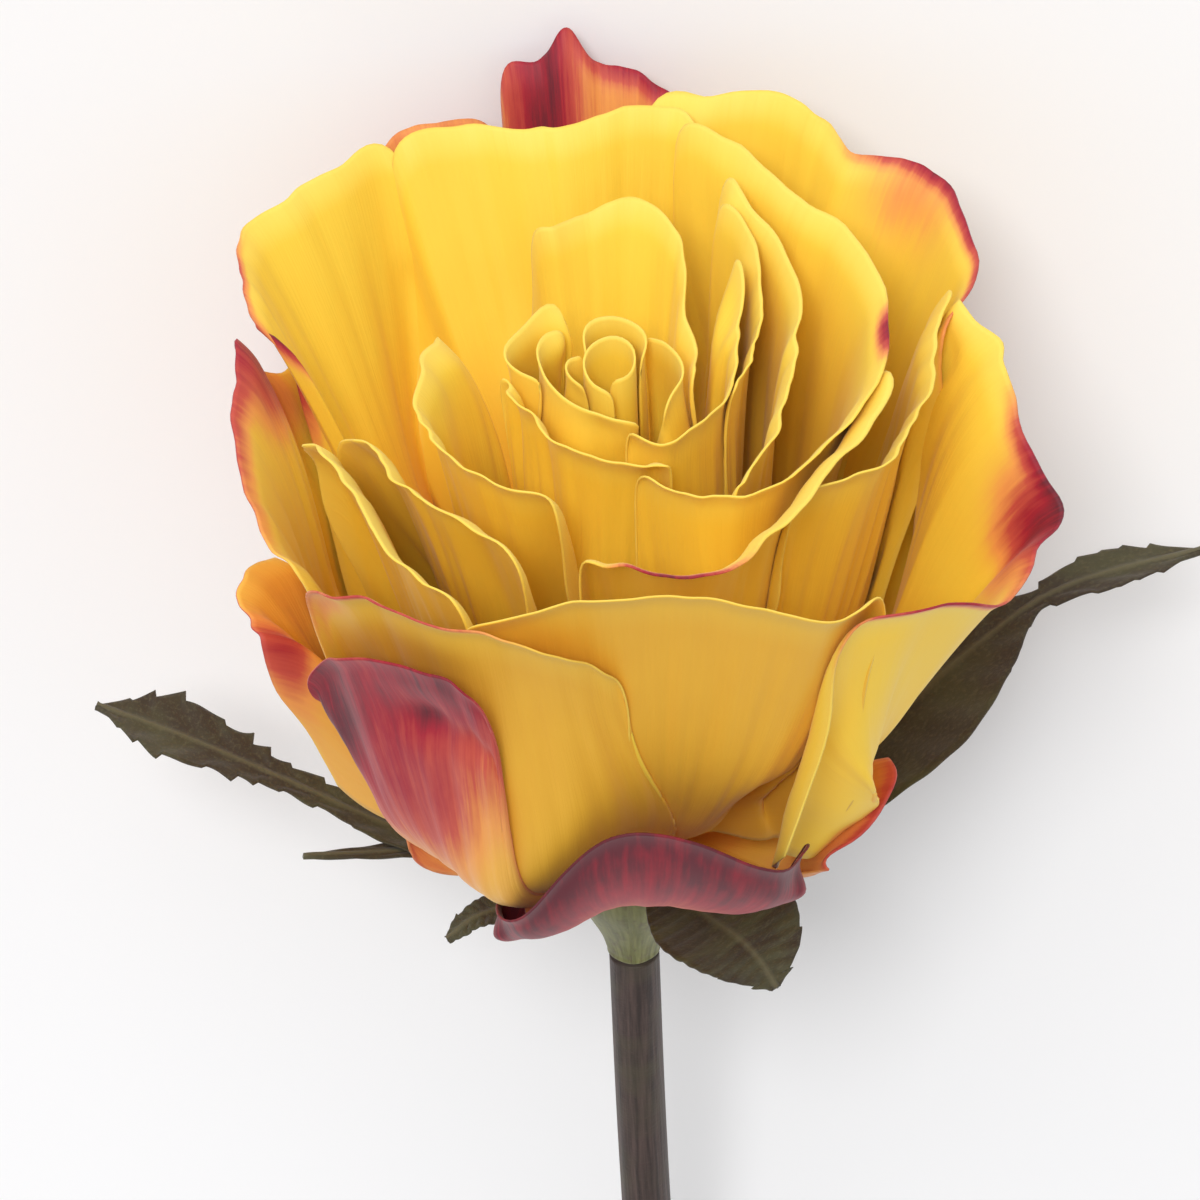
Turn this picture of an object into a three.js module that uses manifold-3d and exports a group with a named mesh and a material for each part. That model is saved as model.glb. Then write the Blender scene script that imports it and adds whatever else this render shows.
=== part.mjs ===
// A cut rose lying on its back: petals, hip, five sepals and a short trimmed stem.
// Millimetres, +Z up. The bloom is laid out upright round its own axis, then the whole flower lies down.
import * as THREE from "three";
import Module from "manifold-3d";

const wasm = await Module();
wasm.setup();

const radians = THREE.MathUtils.degToRad;
const UPRIGHT = new THREE.Vector3(0, 0, 1);

// Rest: how far the bloom's axis rises from the floor, and where the petals' base then sits
const AXIS_RISE = radians(11.38);
const PETAL_BASE = new THREE.Vector3(2.86, -47.36, 38.38);

// Petal sheets
const PETAL_THICKNESS = 0.6;
const PETAL_GAP = 1;
const EDGE_GAP = 1.5;
const EASE_ROUNDS = 4;
const EASE_PASSES = 10;
const EASE_LIMIT = 1.15;
const COLUMNS = 11;
const ROWS = 7;
const STEEPEST_SLANT = 0.5;
const FACE_STEPS = 4;
const FACE_TRIES = [];
for (let i = 0; i <= FACE_STEPS; i += 1) {
  for (let j = 0; i + j <= FACE_STEPS; j += 1) {
    FACE_TRIES.push([i, j, FACE_STEPS - i - j].map((v) => v / FACE_STEPS));
  }
}

// Claws, the petals' narrow feet: they stand down the side of the hip's cone, the heart's claws at its top
const CLAW_INNER_RADIUS = 1.1;
const CLAW_OUTER_RADIUS = 6.4;
const CLAW_INNER_HEIGHT = 12;
const CLAW_OUTER_HEIGHT = 1.4;
const CLAW_HALF_WIDTH = 1.25;
const CLAW_LEAN_INNER = 86;
const CLAW_LEAN_OUTER = 4;
const CLAW_LEAN_POWER = 0.8;
const CLAW_REACH = 0.42;
const RIM_REACH = 0.34;
const SPREAD_POWER = 2.2;

// Lower margins of a petal: each end of its rim runs down in two more points, outwards round the bloom by
// turn, at a share of the end's radius and height. A tucked margin turns in under the petal, a rolled one
// hardly runs down at all, and a heart petal is a narrow upright strip with high margins.
const MARGIN = [
  { turn: 1, radius: 0.94, height: 0.76 },
  { turn: 6, radius: 0.82, height: 0.42 },
];
const TUCKED_MARGIN = [
  { turn: 0.5, radius: 0.94, height: 0.78 },
  { turn: -3, radius: 0.82, height: 0.42 },
];
const ROLLED_MARGIN = [
  { turn: 0, radius: 0.97, height: 0.92 },
  { turn: -3, radius: 0.88, height: 0.7 },
];
const HEART_MARGIN = [
  { turn: 1.5, radius: 0.98, height: 0.93 },
  { turn: 3, radius: 0.96, height: 0.84 },
];

// Petals from the heart outwards. A rim is a list of [azimuth, radius, height] round the bloom's axis,
// in degrees and millimetres: azimuth 0 is the front and 90 the right. flare is how far the rim leans
// out of the upright, sag how far a guard petal leaves its claw downwards, and lean is where the petal's
// own axis has moved to at the rim.
const HEART_LEAN = [-0.3, 2];
const PETALS = [
  {
    name: "petal_01_heart_core",
    flare: 0,
    margin: HEART_MARGIN,
    lean: HEART_LEAN,
    rim: [
      [15, 2.7, 56.5], [60, 2.5, 57.4], [120, 2.4, 58.6], [180, 2.4, 59], [240, 2.5, 58.4],
      [300, 2.7, 57.4], [345, 2.9, 56.5],
    ],
  },
  {
    name: "petal_02_heart_back",
    flare: -10,
    margin: HEART_MARGIN,
    lean: HEART_LEAN,
    rim: [
      [100, 4.1, 57], [122, 4.2, 58.6], [161, 4.6, 59.2], [190, 5.2, 59], [215, 5.6, 58.3],
      [232, 5.6, 57],
    ],
  },
  {
    name: "petal_03_heart_left",
    flare: -12,
    margin: HEART_MARGIN,
    lean: HEART_LEAN,
    rim: [[245, 4.2, 57.2], [256, 4.2, 57.8], [276, 4.3, 57.8], [295, 4.6, 57.4], [312, 4.9, 56.6]],
  },
  {
    name: "petal_04_heart_wrap",
    flare: -8,
    margin: HEART_MARGIN,
    lean: HEART_LEAN,
    rim: [
      [226, 7, 58], [237, 7, 58.6], [258, 6.6, 58.5], [279, 6.1, 58.3], [306, 6.1, 57.9],
      [334, 6.4, 57.4], [355, 6.9, 56.9], [377, 7.2, 56],
    ],
  },
  {
    name: "petal_05_heart_right",
    flare: -8,
    margin: HEART_MARGIN,
    lean: HEART_LEAN,
    rim: [
      [44, 8.2, 55.5], [57, 7.6, 57], [77, 6.7, 57.6], [101, 5.9, 57.9], [125, 5.7, 57.8],
      [140, 5.9, 57],
    ],
  },
  {
    name: "petal_06_inner_left",
    flare: 2,
    margin: HEART_MARGIN,
    rim: [[211, 10.3, 59.5], [230, 10.3, 59], [250, 10.8, 58.5], [262, 10.6, 57.8], [270, 9.6, 57]],
  },
  {
    name: "petal_07_inner_back",
    flare: 22,
    rim: [
      [93, 8.4, 56], [120, 9.6, 56.5], [145, 11.2, 57], [155, 16, 59.2], [161, 19, 60.6],
      [174, 22, 61.5], [187, 21.3, 61], [199, 23, 60], [208, 25, 58.5],
    ],
  },
  {
    name: "petal_08_inner_right",
    flare: 12,
    rim: [
      [8, 8.8, 55.5], [25, 9.6, 56.7], [45, 9.5, 57.2], [70, 9.3, 57], [93, 9.8, 57], [111, 11.3, 58.3],
      [121, 13.5, 59], [140, 18, 60],
    ],
  },
  {
    name: "petal_09_inner_front",
    flare: 14,
    rim: [
      [-94, 11.6, 56.3], [-84, 10.6, 57.5], [-72, 9.3, 57.7], [-56, 8.6, 57.6], [-37, 9.6, 57],
      [-20, 10, 56.8], [-3, 10.6, 56.5], [12, 12.8, 56.6], [22, 14.5, 55.5],
    ],
  },
  {
    name: "petal_10_inner_right_fold",
    flare: 14,
    rim: [
      [82, 11.6, 55.5], [96, 12, 56.8], [105, 12.8, 57.6], [114, 14.6, 58.5], [126, 17, 60],
      [141, 21, 61], [154, 24, 60.5],
    ],
  },
  {
    name: "petal_11_inner_front_left",
    flare: 16,
    rim: [
      [-116, 18.2, 55.5], [-105, 17.5, 58.8], [-88, 17.5, 59.8], [-76, 19, 59], [-68, 18.5, 58.3],
      [-60, 19, 58], [-48, 18.5, 57.8], [-35, 17.5, 56.6], [-21, 16.5, 54.5],
    ],
  },
  {
    name: "petal_12_middle_right_fold",
    flare: 16,
    rim: [
      [33, 18.8, 55], [40, 18.3, 57], [57, 17, 58], [73, 16.2, 58.3], [90, 16.4, 59], [105, 17.8, 60],
      [125, 20.5, 61], [145, 24.5, 61.5], [156, 27.5, 61],
    ],
  },
  {
    name: "petal_13_middle_right",
    flare: 24,
    rim: [
      [8, 13.8, 55.4], [16, 16, 57], [24, 18.3, 57.8], [34, 20.2, 58], [56, 21.3, 58.3], [76, 23.5, 60],
      [100, 25.5, 61.5], [125, 26.5, 62.3], [142, 27.2, 62.4], [158, 31.5, 62.3], [168, 34, 61],
    ],
  },
  {
    name: "petal_14_middle_left",
    flare: 22,
    rim: [
      [-83, 26, 52], [-75, 25.3, 56.5], [-67, 24.6, 58.4], [-60, 24.6, 58.4], [-53, 24.9, 58],
      [-45, 24.5, 57.7], [-35, 24.3, 56.8], [-22, 25, 54.5],
    ],
  },
  {
    name: "petal_15_middle_front",
    flare: 36,
    rim: [
      [-9, 24, 54.5], [-3, 25.3, 56.4], [3, 27.3, 57.4], [10, 29.6, 57.9], [18, 30, 58],
      [26, 27.8, 58.2], [34, 26.3, 58.5], [45, 24.3, 58.8], [57, 23.4, 59], [70, 24.6, 59.5],
      [84, 26, 59],
    ],
  },
  {
    name: "petal_16_outer_back",
    flare: 30,
    rim: [
      [164, 37, 59.5], [172, 37.4, 61.2], [179, 36.4, 61.4], [186, 35.6, 60.8], [192, 36.6, 60.3],
      [200, 39.5, 60], [210, 41, 58.5],
    ],
  },
  {
    name: "petal_17_outer_right_inner",
    flare: 22,
    rim: [
      [42, 26.8, 56], [52, 27.5, 57.2], [62, 28, 57.5], [73, 28, 57.8], [85, 28.8, 58.5],
      [97, 30.5, 59.3], [107, 32.6, 58.6],
    ],
  },
  {
    name: "petal_18_outer_left_inner",
    flare: 24,
    rim: [
      [-83, 31, 51], [-77, 30.2, 56], [-70, 29.2, 58.4], [-60, 28.7, 58.3], [-51, 30, 58],
      [-43, 31.3, 57.2], [-35, 32, 55.8], [-27, 32, 53.5],
    ],
  },
  {
    name: "petal_19_outer_upper_right",
    flare: 32,
    rim: [
      [105, 33.6, 57.5], [111, 35.8, 59], [121, 38.4, 60.3], [130, 40.6, 60.8], [136, 39.4, 60.8],
      [142, 37.6, 60.8], [149, 39.4, 61.6], [156, 40, 62], [165, 38.6, 61.4], [174, 38.8, 60],
    ],
  },
  {
    name: "petal_20_outer_upper_left",
    flare: 32,
    rim: [
      [209.5, 41.2, 57.6], [218, 41, 58.4], [226, 41.6, 58.4], [234, 42.6, 58], [240, 41, 57.6],
      [245, 38.2, 57], [248.5, 36.6, 55], [247.5, 33.5, 51.7],
    ],
  },
  {
    name: "petal_21_outer_left",
    flare: 28,
    rim: [
      [-124, 36.5, 45.5], [-114, 36.4, 48], [-107, 36.2, 52.5], [-101, 35.6, 58.3], [-94, 35.2, 57],
      [-86, 35.2, 55.5], [-74, 35.6, 53.4], [-65, 35.4, 51.4], [-57, 35, 50],
    ],
  },
  {
    name: "petal_22_outer_front_right",
    flare: 20,
    rim: [
      [-26, 31.4, 52], [-16, 31.3, 55.6], [-6, 31.3, 57.2], [5, 31.8, 57.6], [15, 33.2, 57.3],
      [23, 35.8, 56], [31, 37.4, 54.2], [39, 37, 53.5],
    ],
  },
  {
    name: "petal_23_outer_front_left",
    flare: 24,
    margin: TUCKED_MARGIN,
    rim: [
      [-52, 36.6, 51], [-44, 37, 54.6], [-36, 36.6, 56], [-27, 36.2, 56], [-19, 35, 55],
      [-12, 33.8, 52.5], [-6, 32.6, 48.5], [-1, 31, 43],
    ],
  },
  {
    name: "petal_24_outer_right",
    flare: 38,
    rim: [
      [33, 39.4, 51], [41, 39, 53], [49, 40.2, 51.3], [57, 41.6, 47.6], [67, 41.2, 47.8],
      [76, 42.4, 47.6], [79, 39.6, 51.5], [84, 36.8, 56.3], [90, 35.8, 58], [97, 34.8, 58.9],
      [104, 33.2, 58.6],
    ],
  },
  {
    name: "petal_25_guard_back_left",
    flare: 34,
    rim: [[194, 45, 54], [200, 45.8, 56.4], [206, 45.6, 56], [212, 44.6, 54], [218, 42.6, 50]],
  },
  {
    name: "petal_26_guard_back",
    flare: 28,
    rim: [
      [169, 44.5, 56.5], [173, 45.6, 59], [177, 46, 60], [181, 46.6, 60.6], [184.3, 47.8, 63.8],
      [187.5, 46.8, 60.6], [192, 46, 59],
    ],
  },
  {
    name: "petal_27_guard_front_left",
    flare: 10,
    margin: TUCKED_MARGIN,
    sag: 6,
    rim: [
      [-55, 33.8, 35.5], [-53, 35.2, 41], [-46, 36, 46.3], [-38, 36, 49.3], [-30, 35.8, 50.3],
      [-24.5, 35.8, 50], [-21.5, 35.6, 46.5], [-21, 35, 39.5], [-22, 34, 31],
    ],
  },
  {
    name: "petal_28_guard_front",
    flare: -4,
    margin: ROLLED_MARGIN,
    sag: 2,
    rim: [
      [-31, 27, 11], [-27, 28, 12.8], [-20, 28.6, 15.5], [-12, 29.6, 22], [-4, 30.2, 27],
      [4, 30.5, 27.8], [12, 30.7, 26], [21, 31, 22.6], [29, 31, 20], [35, 30.6, 19],
    ],
  },
  {
    name: "petal_29_guard_left",
    flare: 32,
    margin: TUCKED_MARGIN,
    rim: [
      [-90, 34, 36], [-85, 35.2, 39], [-80, 36, 40.2], [-76, 36.8, 39.5], [-72, 37, 38.5],
      [-69, 36.6, 37],
    ],
  },
  {
    name: "petal_30_guard_right",
    flare: 45,
    margin: ROLLED_MARGIN,
    sag: -16,
    rim: [
      [44, 27.6, 10], [47, 29, 13.5], [53, 29.8, 17], [59, 29.8, 19.2], [65, 29, 18.6], [71, 27.4, 15.5],
    ],
  },
  {
    name: "petal_31_guard_under_right",
    flare: 36,
    rim: [
      [124, 36, 29], [134, 41.5, 36], [145, 46.5, 40.5], [155, 49.4, 42.5], [164, 49, 42],
      [173, 45.4, 37],
    ],
  },
  {
    name: "petal_32_guard_under_left",
    flare: 36,
    rim: [
      [188, 45, 36.5], [196, 48, 41], [204, 49.8, 42.5], [213, 48.2, 41], [223, 43.5, 36.5],
      [234, 38, 29],
    ],
  },
];

// Hip: the swollen cup under the petals, as a profile of [radius, height]
const HIP_PROFILE = [
  [0, -16], [2.4, -16], [2.75, -15], [3.3, -13], [4.6, -10], [6, -7], [6.7, -4.2], [6.6, -1.6], [5.9, -0.3],
  [4.6, 1.2], [2.2, 6], [0.6, 9.6], [0, 9.9],
];
const HIP_SIDES = 16;

// Sepals: a path of [azimuth, radius, height] from the hip outwards, and the blade's half width along it
const SEPAL_THICKNESS = 0.7;
const SEPAL_STEPS = 22;
const SEPAL_CAMBER = 0.22;
const RIB_PLACES = [-1, -0.5, 0, 0.5, 1];
const LOOK_AHEAD = 0.02;
const LOBE_THICKNESS = 0.9;
const LOBE_STATIONS = [0, 0.35, 0.7, 1];
const LOBE_ROOT_INSET = 0.3;
const LOBE_ROOT_HALF_WIDTH = 1.5;
const LOBE_TIP_HALF_WIDTH = 0.35;
const SEPALS = [
  {
    name: "sepal_left",
    path: [[-95, 7.3, -2.6], [-95, 15, -3], [-96, 24, -0.8], [-98, 34, 3.5], [-100, 44, 7], [-101, 54, 10]],
    width: [2.6, 4.2, 3.8, 3, 1.9, 2.9, 4.4, 0.5],
    teeth: { from: 0.55, depth: 1.1 },
    lobes: [{ at: 0.3, side: -1, length: 13, turn: 30 }, { at: 0.36, side: 1, length: 9, turn: 28 }],
  },
  {
    name: "sepal_front_left",
    path: [[-50, 7.3, -2.8], [-52, 12, -2.4], [-54, 16, -1.6], [-56, 19, -1.6], [-57, 22, -3]],
    width: [2.4, 2.6, 2.2, 1.7, 0.5],
    teeth: { from: 0.6, depth: 0.3 },
    lobes: [],
  },
  {
    name: "sepal_front_right",
    path: [[30, 7.3, -2.8], [33, 12, -2.4], [35, 17, -2], [36, 20.5, -2.8], [36, 23.4, -4.6]],
    width: [2.8, 5.6, 7.4, 7, 4.6, 0.6],
    teeth: { from: 0.6, depth: 0.5 },
    lobes: [],
  },
  {
    name: "sepal_right",
    path: [[108, 7.3, -2.6], [108, 16, -2.2], [110, 27, 4], [112, 38, 10], [113, 48, 13.5], [111, 63, 15]],
    width: [2.8, 6, 8.6, 10.4, 10.2, 6.2, 1.6, 3, 0.5],
    teeth: { from: 0.7, depth: 0.7 },
    lobes: [],
  },
  {
    name: "sepal_back",
    path: [[183, 7.3, -2.6], [183, 15, -3.4], [182, 24, -2.4], [181, 31, 0.5]],
    width: [2.6, 5, 5, 3.2, 0.5],
    teeth: { from: 0.6, depth: 0.6 },
    lobes: [{ at: 0.45, side: 1, length: 9, turn: 32 }, { at: 0.5, side: -1, length: 8, turn: 32 }],
  },
];

// Stem: its middle line in the flower's frame, a round section, leaf scars and prickles
const STEM_PATH = [[0, 0, -16.4], [0.2, 0.2, -40], [0.9, 0.8, -80], [1.1, 1.6, -125], [0.4, 2.6, -168]];
const STEM_RADIUS = 2.55;
const STEM_SIDES = 14;
const STEM_STEPS = 34;
const CUT_SLOPE = 0.7;
const SCARS = [0.44, 0.82];
const SCAR_SWELL = 0.45;
const SCAR_LENGTH = 0.02;
const PRICKLE_SIDES = 6;
const PRICKLE_HALF_WIDTH = 0.8;
const PRICKLE_HALF_HEIGHT = 1.9;
const PRICKLE_LENGTH = 3.4;
const PRICKLE_DROOP = 2;
const PRICKLE_SINK = 0.9;
const PRICKLES = [
  { at: 0.36, turn: -70 },
  { at: 0.55, turn: 62 },
  { at: 0.69, turn: -38 },
  { at: 0.9, turn: 96 },
];

// Finishes: colour and roughness
const YELLOW = { color: 0xf2c22e, roughness: 0.55 };
const GUARD = { color: 0xc8532f, roughness: 0.6 };
const SEPAL_GREEN = { color: 0x3c3826, roughness: 0.7 };
const HIP_GREEN = { color: 0x5b6130, roughness: 0.6 };
const STEM_BROWN = { color: 0x4a3b35, roughness: 0.6 };

// A point of the flower from an azimuth in degrees, a radius and a height
function polar(azimuth, radius, height) {
  const turn = radians(azimuth);
  return new THREE.Vector3(radius * Math.sin(turn), -radius * Math.cos(turn), height);
}

// A smooth curve through [azimuth, radius, height] points, still in those terms
function curveThrough(points) {
  return new THREE.CatmullRomCurve3(
    points.map((p) => new THREE.Vector3(...p)),
    false,
    "catmullrom",
    0.5,
  );
}

// A rim with its two low margins added at either end
function fullRim({ rim, margin = MARGIN }) {
  const low = ([azimuth, radius, height], side) =>
    margin.map((m) => [azimuth + side * m.turn, radius * m.radius, height * m.height]);
  const first = low(rim[0], -1).reverse();
  const last = low(rim.at(-1), 1);
  return [...first, ...rim, ...last];
}

// The middle surface of a petal before its neighbours ease it outwards: rows of points from claw to rim
function petalRows(petal, order) {
  const share = order / (PETALS.length - 1);
  const rim = curveThrough(fullRim(petal));
  const middle = rim.getPoint(0.5).x;
  const clawRadius = THREE.MathUtils.lerp(CLAW_INNER_RADIUS, CLAW_OUTER_RADIUS, share);
  const clawTurn = THREE.MathUtils.radToDeg(CLAW_HALF_WIDTH / clawRadius);
  const clawLean = THREE.MathUtils.lerp(CLAW_LEAN_INNER, CLAW_LEAN_OUTER, share ** CLAW_LEAN_POWER);
  const rise = radians(clawLean - (petal.sag ?? 0));
  const flare = radians(petal.flare);
  const clawHeight = THREE.MathUtils.lerp(CLAW_INNER_HEIGHT, CLAW_OUTER_HEIGHT, share);
  const claw = new THREE.Vector2(clawRadius, clawHeight);
  const rows = [];
  for (let row = 0; row <= ROWS; row += 1) rows.push([]);
  for (let column = 0; column <= COLUMNS; column += 1) {
    const across = column / COLUMNS;
    const end = rim.getPoint(across);
    const edge = new THREE.Vector2(end.y, end.z);
    const reach = claw.distanceTo(edge);
    const meridian = new THREE.CubicBezierCurve(
      claw,
      new THREE.Vector2(Math.cos(rise), Math.sin(rise)).multiplyScalar(CLAW_REACH * reach).add(claw),
      new THREE.Vector2(Math.sin(flare), Math.cos(flare)).multiplyScalar(-RIM_REACH * reach).add(edge),
      edge,
    );
    const clawAzimuth = middle + (2 * across - 1) * clawTurn;
    for (let row = 0; row <= ROWS; row += 1) {
      const along = row / ROWS;
      const place = meridian.getPoint(along);
      const spread = 1 - (1 - along) ** SPREAD_POWER;
      const axis = axisAt(petal, place.y);
      const point = polar(THREE.MathUtils.lerp(clawAzimuth, end.x, spread), place.x, place.y).add(axis);
      rows[row].push({ point, axis });
    }
  }
  return rows;
}

// Where a petal's own axis stands at a height
function axisAt(petal, height) {
  const [x, y] = petal.lean ?? [0, 0];
  const share = Math.max(0, height / petal.rim[0][2]) ** 2;
  return new THREE.Vector3(x * share, y * share, 0);
}

// The triangles between rows of points, as flat corner indices of a grid
function gridFaces(rowCount, columnCount) {
  const faces = [];
  const index = (row, column) => row * columnCount + column;
  for (let row = 0; row + 1 < rowCount; row += 1) {
    for (let column = 0; column + 1 < columnCount; column += 1) {
      const [a, b] = [index(row, column), index(row, column + 1)];
      const [c, d] = [index(row + 1, column + 1), index(row + 1, column)];
      faces.push([a, b, c], [a, c, d]);
    }
  }
  return faces;
}

// How far from its start a level ray must be to clear the petals already laid, or 0 where it meets none
function clearDistance(start, outwards, laid) {
  const ray = new THREE.Ray(start, outwards);
  const hit = new THREE.Vector3();
  let distance = 0;
  for (const sheet of laid) {
    if (!ray.intersectsBox(sheet.box)) continue;
    for (const { corners, normal } of sheet.faces) {
      if (!ray.intersectTriangle(...corners, false, hit)) continue;
      const slant = Math.max(Math.abs(normal.dot(outwards)), STEEPEST_SLANT);
      distance = Math.max(distance, hit.distanceTo(start) + PETAL_GAP / slant);
    }
  }
  return distance;
}

// What a petal must clear: spots tried on each of its faces and the edges of the petals already laid,
// each with the face's corners, their weights there, and how much further out the spot must stand
function clearancesOf(petal, spots, faces, laid) {
  const clearances = laid.flatMap((sheet) => edgeClearances(petal, spots, faces, sheet.edge));
  for (const corners of faces) {
    for (const weights of FACE_TRIES) {
      const point = weighted(corners.map((i) => spots[i].point), weights);
      const axis = weighted(corners.map((i) => spots[i].axis), weights).setZ(point.z);
      const distance = clearDistance(axis, point.clone().sub(axis).normalize(), laid);
      const need = distance - point.distanceTo(axis);
      if (need > 0) clearances.push({ corners, weights, need });
    }
  }
  return clearances;
}

// Where a petal passes the edge of a laid one, on the same level ray
function edgeClearances(petal, spots, faces, edge) {
  const clearances = [];
  const hit = new THREE.Vector3();
  for (const point of edge) {
    const start = axisAt(petal, point.z).setZ(point.z);
    const outwards = point.clone().sub(start);
    const distance = outwards.length();
    const ray = new THREE.Ray(start, outwards.normalize());
    for (const corners of faces) {
      const triangle = new THREE.Triangle(...corners.map((i) => spots[i].point));
      if (!ray.intersectTriangle(triangle.a, triangle.b, triangle.c, false, hit)) continue;
      const weights = triangle.getBarycoord(hit, new THREE.Vector3()).toArray();
      const need = distance + EDGE_GAP - hit.distanceTo(start);
      if (need > 0) clearances.push({ corners, weights, need });
    }
  }
  return clearances;
}

function weighted(vectors, weights) {
  const sum = new THREE.Vector3();
  vectors.forEach((vector, i) => sum.addScaledVector(vector, weights[i]));
  return sum;
}

// Eases a petal outwards until it clears every petal that it wraps, and returns its rows of points
function easedRows(petal, rows, laid) {
  const spots = rows.flat();
  const clearances = clearancesOf(petal, spots, gridFaces(rows.length, rows[0].length), laid);
  let ease = spots.map(() => 0);
  for (let round = 0; round < EASE_ROUNDS; round += 1) {
    ease = softened(ease, rows[0].length);
    for (let pass = 0; pass < EASE_PASSES; pass += 1) {
      for (const clearance of clearances) clear(ease, clearance);
    }
  }
  const moved = (spot, i) => {
    const outwards = spot.point.clone().sub(spot.axis).setZ(0).normalize();
    return spot.point.clone().addScaledVector(outwards, ease[i]);
  };
  return rows.map((row, r) => row.map((spot, c) => moved(spot, r * row.length + c)));
}

// Moves a face's corners out, by their weights, until its spot stands far enough
function clear(ease, { corners, weights, need }) {
  const lack = need - corners.reduce((sum, i, k) => sum + weights[k] * ease[i], 0);
  if (lack <= 0) return;
  const scale = lack / weights.reduce((sum, w) => sum + w * w, 0);
  corners.forEach((i, k) => {
    ease[i] = Math.max(ease[i], Math.min(ease[i] + weights[k] * scale, need * EASE_LIMIT));
  });
}

// A grid of values, each averaged with its neighbours
function softened(values, width) {
  return values.map((value, i) => {
    const near = [value, values[i - width], values[i + width]];
    if (i % width > 0) near.push(values[i - 1]);
    if (i % width < width - 1) near.push(values[i + 1]);
    const known = near.filter((v) => v !== undefined);
    return known.reduce((sum, v) => sum + v, 0) / known.length;
  });
}

// A closed sheet of even thickness round rows of middle points
function sheetGeometry(rows, thickness) {
  const columnCount = rows[0].length;
  const middle = rows.flat();
  const faces = gridFaces(rows.length, columnCount);
  const normals = middle.map(() => new THREE.Vector3());
  const triangle = new THREE.Triangle();
  const normal = new THREE.Vector3();
  for (const face of faces) {
    triangle.set(...face.map((i) => middle[i]));
    triangle.getNormal(normal).multiplyScalar(triangle.getArea());
    for (const i of face) normals[i].add(normal);
  }
  const side = (sign) =>
    middle.map((p, i) => p.clone().addScaledVector(normals[i].clone().normalize(), (sign * thickness) / 2));
  const points = [...side(1), ...side(-1)];
  const count = middle.length;
  const edge = borderLoop(rows.length, columnCount);
  const closed = [
    ...faces,
    ...faces.map(([a, b, c]) => [a + count, c + count, b + count]),
    ...edge.flatMap((a, i) => {
      const b = edge[(i + 1) % edge.length];
      return [[a, a + count, b], [b, a + count, b + count]];
    }),
  ];
  return bodyGeometry(points, closed);
}

// The border of a grid, in the turning sense that its faces leave open
function borderLoop(rowCount, columnCount) {
  const loop = [];
  for (let c = 0; c < columnCount - 1; c += 1) loop.push(c);
  for (let r = 0; r < rowCount - 1; r += 1) loop.push(r * columnCount + columnCount - 1);
  for (let c = columnCount - 1; c > 0; c -= 1) loop.push((rowCount - 1) * columnCount + c);
  for (let r = rowCount - 1; r > 0; r -= 1) loop.push(r * columnCount);
  return loop;
}

// A geometry from points and faces
function bodyGeometry(points, faces) {
  const geometry = new THREE.BufferGeometry().setFromPoints(points);
  geometry.setIndex(faces.flat());
  geometry.computeVertexNormals();
  return geometry;
}

// A solid that can be joined to others, from a geometry with shared corners
function solidOf(geometry) {
  return new wasm.Manifold(
    new wasm.Mesh({
      numProp: 3,
      vertProperties: new Float32Array(geometry.attributes.position.array),
      triVerts: new Uint32Array(geometry.index.array),
    }),
  );
}

// The geometry of such a solid
function geometryOf(solid) {
  const mesh = solid.getMesh();
  const geometry = new THREE.BufferGeometry();
  geometry.setAttribute("position", new THREE.BufferAttribute(mesh.vertProperties, 3));
  geometry.setIndex(new THREE.BufferAttribute(mesh.triVerts, 1));
  geometry.computeVertexNormals();
  return geometry;
}

// A piece with its own name and its own material
function named(name, geometry, finish) {
  const mesh = new THREE.Mesh(geometry, new THREE.MeshStandardMaterial({ ...finish, metalness: 0 }));
  mesh.name = name;
  return mesh;
}

// Every petal, laid from the heart outwards
function makePetals() {
  const petals = new THREE.Group();
  const laid = [];
  PETALS.forEach((petal, order) => {
    const rows = easedRows(petal, petalRows(petal, order), laid);
    const middle = rows.flat();
    const loop = borderLoop(rows.length, rows[0].length).map((i) => middle[i]);
    laid.push({
      box: new THREE.Box3().setFromPoints(middle),
      edge: loop.flatMap((point, i) => [point, point.clone().lerp(loop[(i + 1) % loop.length], 0.5)]),
      faces: gridFaces(rows.length, rows[0].length).map((face) => {
        const corners = face.map((i) => middle[i]);
        return { corners, normal: new THREE.Triangle(...corners).getNormal(new THREE.Vector3()) };
      }),
    });
    const finish = petal.name.includes("guard") ? GUARD : YELLOW;
    petals.add(named(petal.name, outward(sheetGeometry(rows, PETAL_THICKNESS)), finish));
  });
  return petals;
}

function makeHip() {
  const outline = HIP_PROFILE.map(([radius, height]) => new THREE.Vector2(radius, height));
  const lathe = new THREE.LatheGeometry(outline, HIP_SIDES);
  lathe.rotateX(Math.PI / 2);
  return named("hip", lathe, HIP_GREEN);
}

// A value from a list spread evenly over 0 to 1
function lerpList(list, t) {
  const place = t * (list.length - 1);
  const below = Math.min(Math.floor(place), list.length - 2);
  return THREE.MathUtils.lerp(list[below], list[below + 1], place - below);
}

// A sepal's blade: rows across its path, cambered, with a toothed edge towards the tip
function sepalBlade(sepal) {
  const path = curveThrough(sepal.path);
  const rows = [];
  for (let step = 0; step <= SEPAL_STEPS; step += 1) {
    const along = step / SEPAL_STEPS;
    const toothed = along > sepal.teeth.from && along < 1 && step % 2 === 0;
    const tooth = toothed ? sepal.teeth.depth : 0;
    const width = lerpList(sepal.width, along) + tooth;
    rows.push(ribRow(path, along, width));
  }
  return rows;
}

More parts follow.
